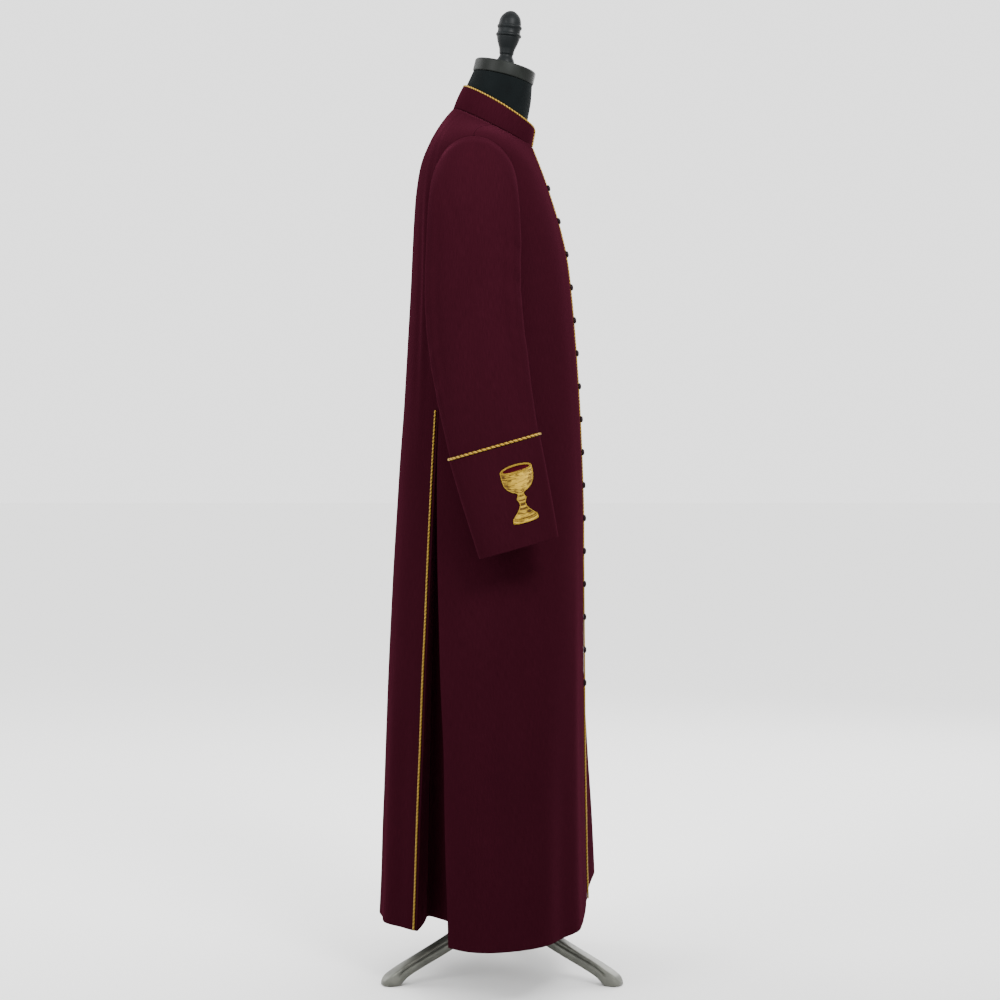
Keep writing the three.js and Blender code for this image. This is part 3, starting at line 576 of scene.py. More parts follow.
def open_armhole(grid):
    """Snaps the points round the armhole to its oval, and says which points stay."""
    dy = (grid[..., 1] - ARMHOLE["y"]) / ARMHOLE["half_wide"]
    dz = (grid[..., 2] - ARMHOLE["z"]) / ARMHOLE["half_high"]
    reach = np.sqrt(dy**2 + dz**2)
    inside = (reach < 1) & (np.abs(grid[..., 0]) > ARMHOLE["from_middle"])
    padded = np.pad(~inside, 1, mode="edge")
    beside = np.zeros_like(inside)
    for di in (0, 1, 2):
        for dj in (0, 1, 2):
            beside |= padded[di : di + inside.shape[0], dj : dj + inside.shape[1]]
    rim = inside & beside
    if rim.any():
        y = ARMHOLE["y"] + dy[rim] / reach[rim] * ARMHOLE["half_wide"]
        z = ARMHOLE["z"] + dz[rim] / reach[rim] * ARMHOLE["half_high"]
        snapped = find_on_body(y, z, LEFT)
        snapped[:, 0] = np.abs(snapped[:, 0]) * np.sign(grid[rim][:, 0])
        grid[rim] = snapped
    return grid, ~inside | rim


def body_sheet(name, grid, face, side):
    """A sheet of the body: its face raised, its edges rounded and its armholes cut out."""
    along = lengths(grid, 1)
    face = face - edge_drop(np.minimum(from_ends(along, 1), lengths(grid, 0)))
    grid = grid + side * grid_normals(grid) * face[..., None]
    uvs = np.stack([along, lengths(grid, 0)], axis=-1)
    grid, keep = open_armhole(grid)
    return grid_object(name, grid, flip=side < 0, keep=keep, uvs=uvs)


def calmer(z, share):
    """How strong the body's ripples are, with a share of them gone above the chest."""
    return 1 - share * smoothstep(CHEST["low"], CHEST["high"], z)


def front_panel(hand):
    rows = body_rows()
    half = spline(BODY["half"], rows)
    lap = np.arcsin(LAP / half)
    ends = spline(BODY["front_ends"], rows) * DEGREE - SEAM / 1.5 / half
    toward_left = hand * mix(-lap[:, None], ends[:, None], with_edges(1.0, count=92, size=480))
    grid = body_point(rows[:, None], toward_left)
    x, z = grid[..., 0], grid[..., 2]
    face = folds(FRONT_FOLDS, toward_left, z) + ripple("front", x, z, hand) * calmer(z, 0.65)
    near_front = smoothstep(FLAT_FRONT["ends"], FLAT_FRONT["fades"], np.abs(toward_left))
    face *= mix(FLAT_FRONT["share"], 1.0, near_front)
    if hand == RIGHT:
        # Lifted to lie on the left front
        face += (CLOTH + SEAM) * smoothstep(-LAP - LAP_RISE["starts"], -LAP - LAP_RISE["ends"], x)
    return body_sheet(f"front_panel_{SIDES[hand]}", grid, face, hand)


def back_panel():
    rows = body_rows()
    start = spline(BODY["back_ends"], rows) * DEGREE + SEAM / 1.5 / spline(BODY["half"], rows)
    toward_left = -mix(start[:, None], TAU - start[:, None], with_edges(1.0, count=84, size=420))
    grid = body_point(rows[:, None], toward_left, back=True)
    z = grid[..., 2]
    face = folds(BACK_FOLDS, toward_left, z) + shoulder_folds(toward_left, z)
    face += ripple("back", grid[..., 0], z) * calmer(z, 0.6)
    return body_sheet("back_panel", grid, face, -1)


def tube_ring(values, hand, turns, out=0.0):
    """A ring of the sleeve or cuff: a full oval section that leans forward."""
    power = 2 / values["full"]
    c, s = np.cos(turns), np.sin(turns)
    c, s = np.sign(c) * np.abs(c) ** power, np.sign(s) * np.abs(s) ** power
    return leaning(values, hand, (values["thick"] + out) * c, (values["wide"] + out) * s)


def leaning(values, hand, off, along):
    """A point of a leaning section, by how far it is off its middle and along it."""
    tilt = values["lean"] * DEGREE
    y, z = values["y"] + along * np.cos(tilt), values["z"] - along * np.sin(tilt)
    return np.stack(np.broadcast_arrays(hand * (values["x"] + off), y, z), axis=-1)


def sleeve_grid(hand, turns):
    """The sleeve's outer face from the armhole's seam, over the sleeve's head and down into the cuff."""
    y = ARMHOLE["y"] + (ARMHOLE["half_wide"] - 1.5 * SEAM) * np.sin(turns)
    z = ARMHOLE["z"] + (ARMHOLE["half_high"] - 1.5 * SEAM) * np.cos(turns)
    seam = find_on_body(y, z, hand)
    rings = [seam]
    for turn, reach, wide, blend in zip(*HEAD_RINGS.values()):
        out = HEAD["inner"] + (reach - HEAD["inner"]) / 2 * (1 + np.cos(turns))
        tilt = turn * DEGREE
        x = hand * (HEAD["x"] + out * math.sin(tilt))
        target = np.stack([x, HEAD["y"] + wide * np.sin(turns), HEAD["z"] + out * math.cos(tilt)], axis=-1)
        rings.append(mix(seam, target, blend))
    rings += [tube_ring(table_row(SLEEVE, i), hand, turns) for i in range(len(SLEEVE["z"]))]
    rings.append(tube_ring(table_row(CUFF, CUFF_LAP), hand, turns))
    last = len(rings) - 1
    return spline(np.array(rings), np.linspace(0, last, last * SLEEVE_STEPS + 1))


def tube_sheet(name, grid, face, hand, turns, radius):
    """A sheet round the arm with its face raised. Its texture lies flat as that of a tube of one radius."""
    uvs = np.stack(np.broadcast_arrays(turns * radius, -lengths(grid, 0)), axis=-1)
    grid = grid - hand * grid_normals(grid, closed=True) * face[..., None]
    return grid_object(name, grid, closed=True, flip=hand == LEFT, uvs=uvs)


def sleeve(hand):
    turns = turns_of(SLEEVE_COLUMNS)
    grid = sleeve_grid(hand, turns)
    z = grid[..., 2]
    angle = np.arctan2(np.sin(turns), np.cos(turns))
    face = ripple("sleeve", angle, z, hand)
    for height, turn, long, wide, slope, depth in zip(*SLEEVE_CREASES.values()):
        across = (angle - turn * DEGREE) * FLAT_RADIUS["crease"]
        face += depth * bell(across, long) * bell(z - height - slope * across, wide)
    down = lengths(grid, 0)
    face += PUFF["height"] * bell(down - PUFF["from_seam"], PUFF["width"]) - edge_drop(down)
    face *= smoothstep(0, SMOOTH_END, down[-1:] - down)
    return tube_sheet(f"sleeve_{SIDES[hand]}_cloth", grid, face, hand, turns, FLAT_RADIUS["sleeve"])


def cuff(hand):
    turns = turns_of(SLEEVE_COLUMNS)
    rows = with_edges(len(CUFF["z"]) - 1, count=40, size=160)
    grid = np.array([tube_ring(table_row(CUFF, row), hand, turns, CLOTH + SEAM) for row in rows])
    down = lengths(grid, 0)
    face = ripple("cuff", turns, grid[..., 2], hand) * smoothstep(0, CUFF_SMOOTH, down)
    face -= edge_drop(from_ends(down, 0))
    return tube_sheet(f"cuff_{SIDES[hand]}_cloth", grid, face, hand, turns, FLAT_RADIUS["cuff"])


def transported(path, closed=False):
    """Two steady side directions along a path."""
    if closed:
        tangents = unit(np.roll(path, -1, axis=0) - np.roll(path, 1, axis=0))
    else:
        tangents = unit(np.gradient(path, axis=0))
    seed = np.array([1.0, 0, 0]) if abs(tangents[0][2]) > 0.9 else np.array([0, 0, 1.0])
    sides = np.empty_like(path)
    for i, tangent in enumerate(tangents):
        seed = seed - tangent * (seed @ tangent)
        seed = seed / np.linalg.norm(seed)
        sides[i] = seed
    return sides, np.cross(tangents, sides)


def resample(path, step, closed=False):
    """Even points along a path, and its length."""
    if closed:
        path = np.concatenate([path, path[:1]])
    along = np.concatenate([[0], np.cumsum(np.linalg.norm(np.diff(path, axis=0), axis=1))])
    count = max(8, int(round(along[-1] / step)))
    at = np.linspace(0, along[-1], count + 1)
    if closed:
        at = at[:-1]
    return np.stack([np.interp(at, along, path[:, k]) for k in range(3)], axis=-1), along[-1]


def cord(name, path, radius, closed=False, strands=3):
    """A twisted cord: round strands laid about each other along a path."""
    sides, pitch = CORD["sides"], radius * CORD["pitch"]
    points, total = resample(path, pitch / CORD["per_turn"], closed)
    side, other = transported(points, closed)
    count = len(points)
    turns = total / pitch
    if closed:
        turns = round(turns)
    share = np.arange(count) / (count if closed else count - 1)
    ring = turns_of(sides)
    around = np.cos(ring)[None, :, None] * side[:, None] + np.sin(ring)[None, :, None] * other[:, None]
    if closed:
        strand = grid_faces(count, sides, closed=True, ring=True).tolist()
    else:
        strand = capped_faces(count, sides)
    all_points, all_faces = [], []
    for k in range(strands):
        phase = TAU * (share * turns + k / strands)
        out = np.cos(phase)[:, None] * side + np.sin(phase)[:, None] * other
        centre = points + CORD["lay"] * radius * out
        all_points.append((centre[:, None] + CORD["thick"] * radius * around).reshape(-1, 3))
        all_faces += [[vertex + k * count * sides for vertex in face] for face in strand]
    shades = np.repeat(np.arange(strands) / strands, count * sides)
    return new_object(name, np.concatenate(all_points), all_faces, shade=shades)


def collar_start():
    return math.asin(COLLAR["gap"] / BODY["half"][-1])


def collar_angles(corner_points, points):
    """Angles round the collar from front edge to front edge, closer together at its rounded corners."""
    start, corner = collar_start(), COLLAR["corner"] / BODY["half"][-1]
    ends = start + corner * (1 - np.cos(np.linspace(0, math.pi / 2, corner_points)))
    rest = np.linspace(start + corner, TAU - start - corner, points)[1:-1]
    return np.concatenate([ends, rest, (TAU - ends)[::-1]])


def collar_share(angle):
    """How high the collar stands at an angle, as a share of its full height."""
    near = np.minimum(angle, TAU - angle)
    height = COLLAR_TOP["front_z"] - BODY["front_z"][-1]
    from_end = (near - collar_start()) * BODY["half"][-1]
    inside = np.clip(COLLAR["corner"] - from_end, 0, COLLAR["corner"])
    return 1 - (COLLAR["corner"] - np.sqrt(COLLAR["corner"] ** 2 - inside**2)) / height


def collar_point(share, angle):
    base = section_point({name: values[-1] for name, values in BODY.items()}, -angle)
    top = section_point(COLLAR_TOP, -angle)
    return mix(base, top, np.asarray(share)[..., None]) + np.array([0, 0, 1.5 * SEAM])


def collar():
    angle = collar_angles(12, 150)
    share = with_edges(1.0, count=16, size=38, first=False)[:, None] * collar_share(angle)
    grid = collar_point(share, angle[None, :])
    along, up = lengths(grid, 1), lengths(grid, 0)
    face = COLLAR["bulge"] * np.sin(math.pi * share)
    face -= edge_drop(np.minimum(from_ends(along, 1), up[-1:] - up))
    grid = grid - grid_normals(grid) * face[..., None]
    return grid_object("collar_cloth", grid, flip=True, uvs=np.stack([along, up], axis=-1))


def collar_cord():
    """Up one front edge, round the top and down the other, and before the edge where it is upright."""
    start, radius = collar_start(), PIPING["collar"]
    top = collar_angles(10, 160)
    rise = np.linspace(0.08, collar_share(start) - 0.03, 8)
    angle = np.concatenate([np.full(8, start), top, np.full(8, TAU - start)])
    share = np.concatenate([rise, collar_share(top), rise[::-1]])
    edge = collar_point(share, angle)
    lean = collar_point(np.ones_like(angle), angle) - collar_point(np.zeros_like(angle), angle)
    middle = np.full_like(angle, 0.5)
    around = collar_point(middle, angle + 0.02) - collar_point(middle, angle - 0.02)
    inward = unit(np.cross(around, lean))
    off = unit(np.cross(inward, unit(np.gradient(edge, axis=0))))
    at_front = edge[:, 1] < edge[len(edge) // 2, 1] / 2
    upright = (at_front * smoothstep(6, 0, np.abs(edge[:, 0]) - COLLAR["gap"]))[:, None]
    path = edge + off * radius * (0.75 - 0.4 * upright) + inward * mix(CLOTH / 2, -radius, upright)
    return cord("cord_collar", path, radius)


def front_cord():
    rows = body_rows()[3:]
    radius = PIPING["front"]
    angle = np.arcsin((LAP - radius / 2) / spline(BODY["half"], rows))
    near = body_point(rows[:, None], angle[:, None] + NEAR)
    path = near[:, 1] + grid_normals(near)[:, 1] * (CLOTH + SEAM + 0.9 * radius)
    return cord("cord_front", path, radius)


def pleat_cord(hand):
    rows = np.linspace(0.02, PLEAT_ROW, 160)
    radius = PIPING["pleat"]
    angle = spline(BODY["back_ends"], rows) * DEGREE + PIPING["from_lip"] / spline(BODY["back_half"], rows)
    toward_left = -(angle[:, None] + NEAR)
    near = body_point(rows[:, None], toward_left, back=True)
    near = near - grid_normals(near) * folds(BACK_FOLDS, toward_left, near[..., 2])[..., None]
    path = near[:, 1] - grid_normals(near)[:, 1] * radius * 0.85
    path[:, 0] *= -hand
    return cord(f"cord_pleat_{SIDES[hand]}", path, radius)


def cuff_cord(hand):
    radius = PIPING["cuff"]
    rise = radius + SEAM
    share = rise / (SLEEVE["z"][-2] - CUFF["z"][0])
    ring = {name: mix(CUFF[name][0], SLEEVE[name][-2], share) for name in CUFF}
    return cord(f"cord_cuff_{SIDES[hand]}", tube_ring(ring, hand, turns_of(160), rise), radius, closed=True)


def soft_weight(step, k):
    """Weight of one corner of a polyline whose bends are a little rounded."""
    reach = min(PLEAT["bend"], step, 3 - step)
    return sum(max(0.0, 1 - abs(step + reach * share - k)) for share in (-1, -0.5, 0, 0.5, 1)) / 5


def pleat(hand):
    """The underlay of an inverted pleat: in from the back's lip, across, and out to the front's lip."""
    depth = CLOTH + 1.5 * SEAM
    top_row = np.interp(PLEAT["top"], BODY["side"], np.arange(NECKLINE + 1))
    rows = np.linspace(0, top_row, PLEAT["rows"])
    share = ((PLEAT_TOP - spline(BODY["side"], rows)) / (PLEAT_TOP - HEM))[:, None]
    deep = mix(PLEAT["shallowest"], 1, share)

    def lip(ends, back):
        toward_right = (spline(BODY[ends], rows) * DEGREE)[:, None] + NEAR
        near = body_point(rows[:, None], -toward_right, back=back)
        if back:
            face = folds(BACK_FOLDS, -toward_right if hand == RIGHT else toward_right - TAU, near[..., 2])
        else:
            face = folds(FRONT_FOLDS, hand * toward_right, near[..., 2])
        return (near + grid_normals(near) * (depth - face)[..., None])[:, 1]

    def fold(start, to):
        return start + np.concatenate([to[0] * deep, to[1] * deep, PLEAT["lift"] * share], axis=1)

    back_lip, front_lip = lip("back_ends", True), lip("front_ends", False)
    corners = [back_lip, fold(back_lip, PLEAT["back_fold"]), fold(front_lip, PLEAT["front_fold"]), front_lip]
    steps = np.linspace(0, 3, PLEAT["columns"])
    line = [sum(soft_weight(step, k) * corner for k, corner in enumerate(corners)) for step in steps]
    grid = np.stack(line, axis=1)
    sway = PLEAT["sway"] * share * np.sin(math.pi * steps) * smoothstep(0.2, 1, share)
    grid = grid + grid_normals(grid) * sway[..., None]
    grid[..., 0] *= -hand
    return grid_object(f"pleat_{SIDES[hand]}_cloth", grid, flip=hand == LEFT)


def rounded(points, radius, steps=5):
    """A polyline with its inner corners rounded."""
    points = [np.array(p, float) for p in points]
    path = [points[0]]
    for before, corner, after in zip(points, points[1:], points[2:]):
        into, out = before - corner, after - corner
        size = min(radius, 0.45 * np.linalg.norm(into), 0.45 * np.linalg.norm(out))
        start = corner + into / np.linalg.norm(into) * size
        end = corner + out / np.linalg.norm(out) * size
        for t in np.linspace(0, 1, steps):
            path.append(mix(mix(start, corner, t), mix(corner, end, t), t))
    path.append(points[-1])
    return np.array(path)


def lathe(name, points, radius, segments, seat=(0, 0, 0), turn=Matrix.Identity(4)):
    """A closed turned solid on a seat. The points run from one end of its axis to the other."""
    profile = rounded(points, radius)
    turns = turns_of(segments)
    x, y = profile[:, None, 0] * np.cos(turns), profile[:, None, 0] * np.sin(turns)
    grid = np.stack([x, y, np.broadcast_to(profile[:, None, 1], x.shape)], axis=-1)
    matrix = Matrix.Translation(Vector(seat)) @ turn
    grid = grid @ np.array(matrix.to_3x3()).T + np.array(matrix.translation)
    return new_object(name, grid.reshape(-1, 3), capped_faces(len(profile), segments))


def button_seat(index):
    """The middle of a button's foot and the direction that it faces."""
    z = mix(BUTTON["first"], BUTTON["last"], index / (BUTTON["count"] - 1))
    front = np.array(0.0)
    row = float(bisect(0.0, float(NECKLINE), lambda at: body_point(at, front)[2] < z, 40))
    angle = math.asin(BUTTON["x"] / float(spline(BODY["half"], row)))
    near = body_point(np.array([row - 0.02, row, row + 0.02])[:, None], angle + NEAR)
    normal = grid_normals(near)[1, 1]
    return near[1, 1] + normal * (CLOTH + 2 * SEAM), normal


def buttons(material):
    pieces = []
    for index in range(BUTTON["count"]):
        seat, normal = button_seat(index)
        turn = Vector((0, 0, 1)).rotation_difference(Vector(normal)).to_matrix().to_4x4()
        name = f"covered_button_{index + 1:02d}"
        piece = lathe(name, BUTTON_PROFILE, BUTTON["soft"], BUTTON["segments"], seat, turn)
        pieces.append(finish_piece(piece, "buttons", material, f"button_{index + 1:02d}"))
    return pieces


def cuff_face(u, h, lift, hand):
    """A point over the cuff's near face: across towards the back, and up the chalice."""
    share = h / CHALICE_TOP
    z = mix(CHALICE_AT["low"], CHALICE_AT["high"], share)
    u = u + mix(CHALICE_AT["u_low"], CHALICE_AT["u_high"], share)
    row = np.interp(-z, -CUFF["z"], np.arange(len(CUFF["z"]), dtype=float))
    values = table_row(CUFF, row)
    out = CLOTH + SEAM
    power = values["full"]
    off = (values["thick"] + out) * (1 - np.abs(u / (values["wide"] + out)) ** power) ** (1 / power)
    return leaning(values, hand, off + lift, u)


def chalice_half(h):
    return np.interp(h, CHALICE["height"], CHALICE["half"])


def sagging(u, half):
    """How much higher a bowed line of the chalice is at a place across it, minus where it hangs lower."""
    sag = CHALICE_AT["sag"] * min(1, half / 20)
    return sag * 0.35 - sag * np.sqrt(np.clip(1 - (u / (half + 0.01)) ** 2, 0, 1))


def mouth_oval(share):
    """Half width and height of the mouth's oval, from the lip's outer edge, 0, to its inner edge, 1."""
    wide, rim, lip = CHALICE["half"][-1], CHALICE_AT["rim"], CHALICE_AT["lip"]
    return mix(wide, wide - lip - 0.6, share), mix(rim, rim - 0.62 * lip, share)


def satin(name, rows, hand, seed, length):
    """Rows of short raised stitches. A row gives its ends, its curve and its tone."""
    draw = np.random.default_rng(seed)
    steps = np.linspace(0, 1, len(STITCH_DOME))
    points, faces, shades = [], [], []
    for start, end, curve, tone in rows:
        count = max(1, int(round(abs(end - start) / length)))
        cuts = np.linspace(start, end, count + 1)
        cuts[1:-1] += draw.uniform(-0.3, 0.3, count - 1) * length
        for a, b in zip(cuts, cuts[1:]):
            lean = draw.uniform(-0.12, 0.12)
            along = mix(a - 0.15, b + 0.15, steps)
            shade = np.clip(tone((a + b) / 2) + draw.uniform(-0.26, 0.26), 0, 1)
            faces.append(grid_faces(3, len(steps), flip=hand == LEFT) + len(points) * len(steps))
            for side in (-1, 0, 1):
                u, h = curve(along, side * STITCH["pitch"] * STITCH["half"] + lean * (steps - 0.5))
                lift = STITCH["base"] + STITCH["proud"] * STITCH_DOME * (side == 0)
                points.append(cuff_face(u, h, lift, hand))
                shades.append(np.full(len(steps), shade))
    return new_object(name, np.concatenate(points), np.concatenate(faces), shade=np.concatenate(shades))


def gold_row(h):
    """A bowed row of gold stitches, with bands on the foot, a painted highlight in the middle of the bowl and
    painted shade on its sides.
    """
    half = float(chalice_half(h))
    in_bowl = smoothstep(44, 52, h)
    band = 0.25 * math.sin(h * 0.9) * (1 - in_bowl)

    def tone(u):
        # Painted highlight: a round lighter patch a little off the middle of the bowl
        painted_highlight = math.exp(-(((u + 4) / 9) ** 2) - ((h - 66) / 13) ** 2)
        patches = math.sin(u * 0.55 + 1.7 * math.sin(h * 0.31)) * math.sin(h * 0.42 + 0.8 * math.sin(u * 0.4))
        # The last term is painted shade: the bowl's sides, beyond 17 mm from its middle, are darker
        return 0.36 + band + 0.3 * patches + 0.45 * in_bowl * painted_highlight - 0.1 * in_bowl * (abs(u) > 17)

    return 0.6 - half, half - 0.6, lambda u, across: (u, h + across + sagging(u, half)), tone


def wine_row(v):
    """A level row of wine-red stitches across the mouth's oval."""
    inner_wide, inner_rim = mouth_oval(1)
    half = inner_wide * math.sqrt(max(0.02, 1 - (v / inner_rim) ** 2))
    return -half, half, lambda u, across: (u, CHALICE_TOP + v + across), lambda u: 0.5 - 0.05 * v


def chalice_outline():
    """Down the right side, under the foot and up the left side: places across and up."""
    h = np.linspace(0, CHALICE_TOP, 110)
    under = np.linspace(0, math.pi, 40)[1:-1]
    across = [chalice_half(h)[::-1], chalice_half(0.0) * np.cos(under), -chalice_half(h)]
    up = [h[::-1], -0.65 * CHALICE_AT["sag"] * np.sin(under), h]
    return np.concatenate(across), np.concatenate(up)


def chalice(hand, gold, light, red):
    name = f"chalice_{SIDES[hand]}_"
    pitch, seed = STITCH["pitch"], STITCH["seed"]
    rows = [gold_row(h) for h in np.arange(0.4, CHALICE_TOP, pitch)]
    pieces = [(satin(name + "gold", rows, hand, seed, STITCH["length"]), gold)]
    rim = mouth_oval(1)[1]
    rows = [wine_row(v) for v in np.arange(0.4 - rim, rim, pitch)]
    pieces.append((satin(name + "wine", rows, hand, seed + 1, STITCH["short"]), red))

    def line(part, u, h, lift, radius, thread, closed=False):
        path = cuff_face(u, h, STITCH["base"] + lift, hand)
        pieces.append((cord(name + part, path, radius, closed, strands=2), thread))

    turns = turns_of(150)
    for number, share, thread in ((1, 0.12, light), (2, 0.5, gold), (3, 0.88, light)):
        wide, high = mouth_oval(share)
        u, h = wide * np.cos(turns), CHALICE_TOP + high * np.sin(turns)
        line(f"lip_{number}", u, h, 0.45, 0.62, thread, closed=True)
    line("edge", *chalice_outline(), 0.4, 0.7, light)
    for h, half in CHALICE_BANDS:
        u = np.linspace(-half, half, 40)
        line(f"band_{int(h)}", u, h + sagging(u, half), 0.5, 0.62, light)
    return [finish_piece(piece, "piping", material) for piece, material in pieces]


def cap_point(radius, angle, height):
    """A point over the tilted neck cap's foot, at an angle from its front."""
    y = -radius * np.cos(angle)
    c, s = math.cos(CAP["tilt"]), math.sin(CAP["tilt"])
    turned = np.broadcast_arrays(radius * np.sin(angle), y * c - height * s, y * s + height * c)
    return np.stack(turned, axis=-1) + np.array([0, CAP["y"], CAP["z"]])


def form_torso():
    columns = FORM_GRID["columns"]
    turns = turns_of(columns)
    rings = []
    for row, gap in zip(*FORM_GAPS.values()):
        near = (row - 0.02, row, min(row + 0.02, NECKLINE))
        below, ring, above = (section_point(body_row(np.full(columns, at)), -turns) for at in near)
        across = np.roll(ring, -1, axis=0) - np.roll(ring, 1, axis=0)
        ring = ring + unit(np.cross(across, above - below)) * (CLOTH + gap)
        ring[:, 0] = np.clip(ring[:, 0], -FORM_SHOULDER, FORM_SHOULDER)
        rings.append(ring)
    rings[0][:, 2] = BODY["side"][int(FORM_GAPS["row"][0])]
    for i in range(len(FORM_NECK["side"])):
        rings.append(section_point({name: column[i] for name, column in FORM_NECK.items()}, -turns))
    rings.append(cap_point(NECK_TOP, -turns, -SEAM))
    grid = spline(np.array(rings), np.linspace(0, len(rings) - 1, FORM_GRID["rows"]))
    uvs = np.stack(np.broadcast_arrays(turns * FORM_GRID["flat_radius"], lengths(grid, 0)), axis=-1)
    faces = capped_faces(len(grid), columns, flip=True)
    return new_object("form_jersey", grid.reshape(-1, 3), faces, uvs.reshape(-1, 2))


def neck_cap():
    r, h = CAP["radius"], CAP["height"]
    side = [(0.01, 0.3), (r - 1.2, 0.3), (r, 1.6), (r, h - 2.2)]
    top = [(r - 2.4, h), (r - 5, h), (r - 6, h - 0.5), (0.01, h - 0.5)]
    turn = Matrix.Rotation(CAP["tilt"], 4, "X")
    return lathe("neck_cap_turned", side + top, 1.6, 96, (0, CAP["y"], CAP["z"]), turn)


def finial():
    seat = cap_point(FINIAL_BACK, math.pi, CAP["height"] + FINIAL_RISE)
    return lathe("finial_turned", FINIAL, 1.4, 72, seat, Matrix.Rotation(FINIAL_TILT, 4, "X"))


def pole():
    bottom, top = pole_low[2] / MM, pole_high[2] / MM
    radius = (pole_high[0] - pole_low[0]) / 2 / MM
    return lathe("pole_tube", [(0.01, bottom), (radius, bottom), (radius, top), (0.01, top)], 0.8, 64)


def leg(name, angle):
    """A pressed steel leg, with a groove along each flank that runs out before the rounded foot."""
    rows = np.linspace(0, len(LEG["r"]) - 1, LEG_ROWS)
    values = {key: column[:, None] for key, column in table_row(LEG, rows).items()}
    section = np.array([(h, -plain, -grooved) for h, plain, grooved in LEG_FLANK[::-1]] + LEG_FLANK)
    groove = smoothstep(0, 0.6, rows) * (1 - smoothstep(4.3, 5.2, rows))
    across = mix(section[:, 1], section[:, 2], groove[:, None]) * values["half"]
    z = mix(np.maximum(values["bottom"], 0), values["top"], section[:, 0])
    c, s = math.cos(angle), math.sin(angle)
    grid = np.stack([values["r"] * c - across * s, values["r"] * s + across * c, z], axis=-1)
    return new_object(f"{name}_pressed", grid.reshape(-1, 3), capped_faces(LEG_ROWS, len(section), flip=True))


def scaled(color, factor):
    return tuple(channel * factor for channel in color)


class Look:
    """A material with its shader, and short names for the nodes that feed it.

    The constants are the shader's sockets by name, with _ for each space.
    """

    def __init__(self, name, color, roughness, **constants):
        self.color = color
        self.material = bpy.data.materials.new(name)
        self.material.use_nodes = True
        self.tree = self.material.node_tree
        self.base = self.tree.nodes["Principled BSDF"]
        self.base.inputs["Base Color"].default_value = (*color, 1)
        self.base.inputs["Roughness"].default_value = roughness
        for socket, value in constants.items():
            self.base.inputs[socket.replace("_", " ")].default_value = value

    def feed(self, socket, value):
        """Links an output to a socket, or sets a constant on it."""
        if isinstance(value, bpy.types.NodeSocket):
            self.tree.links.new(value, socket)
        else:
            socket.default_value = value

    def node(self, kind, **values):
        node = self.tree.nodes.new(kind)
        for key, value in values.items():
            if key in node.inputs:
                self.feed(node.inputs[key], value)
            else:
                setattr(node, key, value)
        return node

    def place(self):
        return self.node("ShaderNodeTexCoord").outputs["Object"]

    def flat_place(self):
        """The place on the flat cloth in metres: as one vector, across, and along."""
        uv = self.node("ShaderNodeUVMap", uv_map="cloth").outputs["UV"]
        split = self.node("ShaderNodeSeparateXYZ", Vector=uv)
        return uv, split.outputs[0], split.outputs[1]

    def math(self, operation, *values):
        node = self.node("ShaderNodeMath", operation=operation)
        for socket, value in zip(node.inputs, values):
            self.feed(socket, value)
        return node.outputs[0]

    def wave(self, value, factor):
        return self.math("SINE", self.math("MULTIPLY", value, factor))

    def total(self, *terms):
        """The sum of some outputs, each with its weight."""
        parts = [self.math("MULTIPLY", value, weight) for value, weight in terms]
        return functools.reduce(lambda a, b: self.math("ADD", a, b), parts)

    def noise(self, place, scale, detail=2.0):
        """Noise with one scale, or with a scale for each axis."""
        if isinstance(scale, tuple):
            place = self.node("ShaderNodeMapping", Vector=place, Scale=scale).outputs["Vector"]
            scale = 1.0
        return self.node("ShaderNodeTexNoise", Vector=place, Scale=scale, Detail=detail).outputs["Fac"]

    def tint(self, value, *stops):
        """Colours the surface by a value. A stop has a colour, or a factor of the look's own colour."""
        node = self.node("ShaderNodeValToRGB", Fac=value)
        points = node.color_ramp.elements
        while len(points) < len(stops):
            points.new(0.5)
        for point, (position, color) in zip(points, stops):
            point.position = position
            point.color = (*(color if isinstance(color, tuple) else scaled(self.color, color)), 1)
        self.feed(self.base.inputs["Base Color"], node.outputs["Color"])

    def bump(self, height, distance, strength, **before):
        normal = self.node("ShaderNodeBump", Height=height, Distance=distance, Strength=strength, **before)
        self.feed(self.base.inputs["Normal"], normal.outputs["Normal"])
        return normal.outputs["Normal"]

    def worn(self, value, share, least):
        """Makes the surface less smooth where a value is high."""
        self.feed(self.base.inputs["Roughness"], self.math("ADD", self.math("MULTIPLY", value, share), least))


def cloth_material():
    look = Look(
        "wine_cloth", WINE, 0.9, Sheen_Weight=0.04, Sheen_Tint=(0.9, 0.16, 0.32, 1), Sheen_Roughness=0.35,
        Specular_IOR_Level=0.0,
    )
    uv, u, v = look.flat_place()
    yarns = TAU / YARN["width"]
    twill = look.wave(look.math("ADD", u, look.math("MULTIPLY", v, YARN["slant"])), yarns)
    weave = look.total((twill, 0.7), (look.wave(v, yarns * YARN["weft"]), 0.3))
    broad = look.noise(uv, (14, 5, 1), 3)
    slubs = look.noise(uv, (900, 60, 1))
    fuzz = look.noise(uv, (2600, 2600, 1), 1)
    look.tint(look.total((broad, 0.2), (slubs, 0.5), (fuzz, 0.3)), (0.3, 0.8), (0.5, 1), (0.72, 1.28))
    woven = look.bump(weave, 0.00006, 0.5)
    look.bump(slubs, 0.00008, 0.35, Normal=woven)
    return look.material


def gold_material(name, light, dark, rough=0.42, specular=0.2, stops=(0.2, 0.45, 0.8)):
    look = Look(name, light, rough, Metallic=0.35, Specular_IOR_Level=specular)
    shade = look.node("ShaderNodeAttribute", attribute_name="shade").outputs["Fac"]
    place = look.place()
    fine = look.noise(place, 900)
    tone = look.total((shade, 0.6), (fine, 0.25), (look.noise(place, 60), 0.15))
    look.tint(tone, *zip(stops, (dark, light, 1.4)))
    look.bump(fine, 0.00012, 0.5)
    return look.material


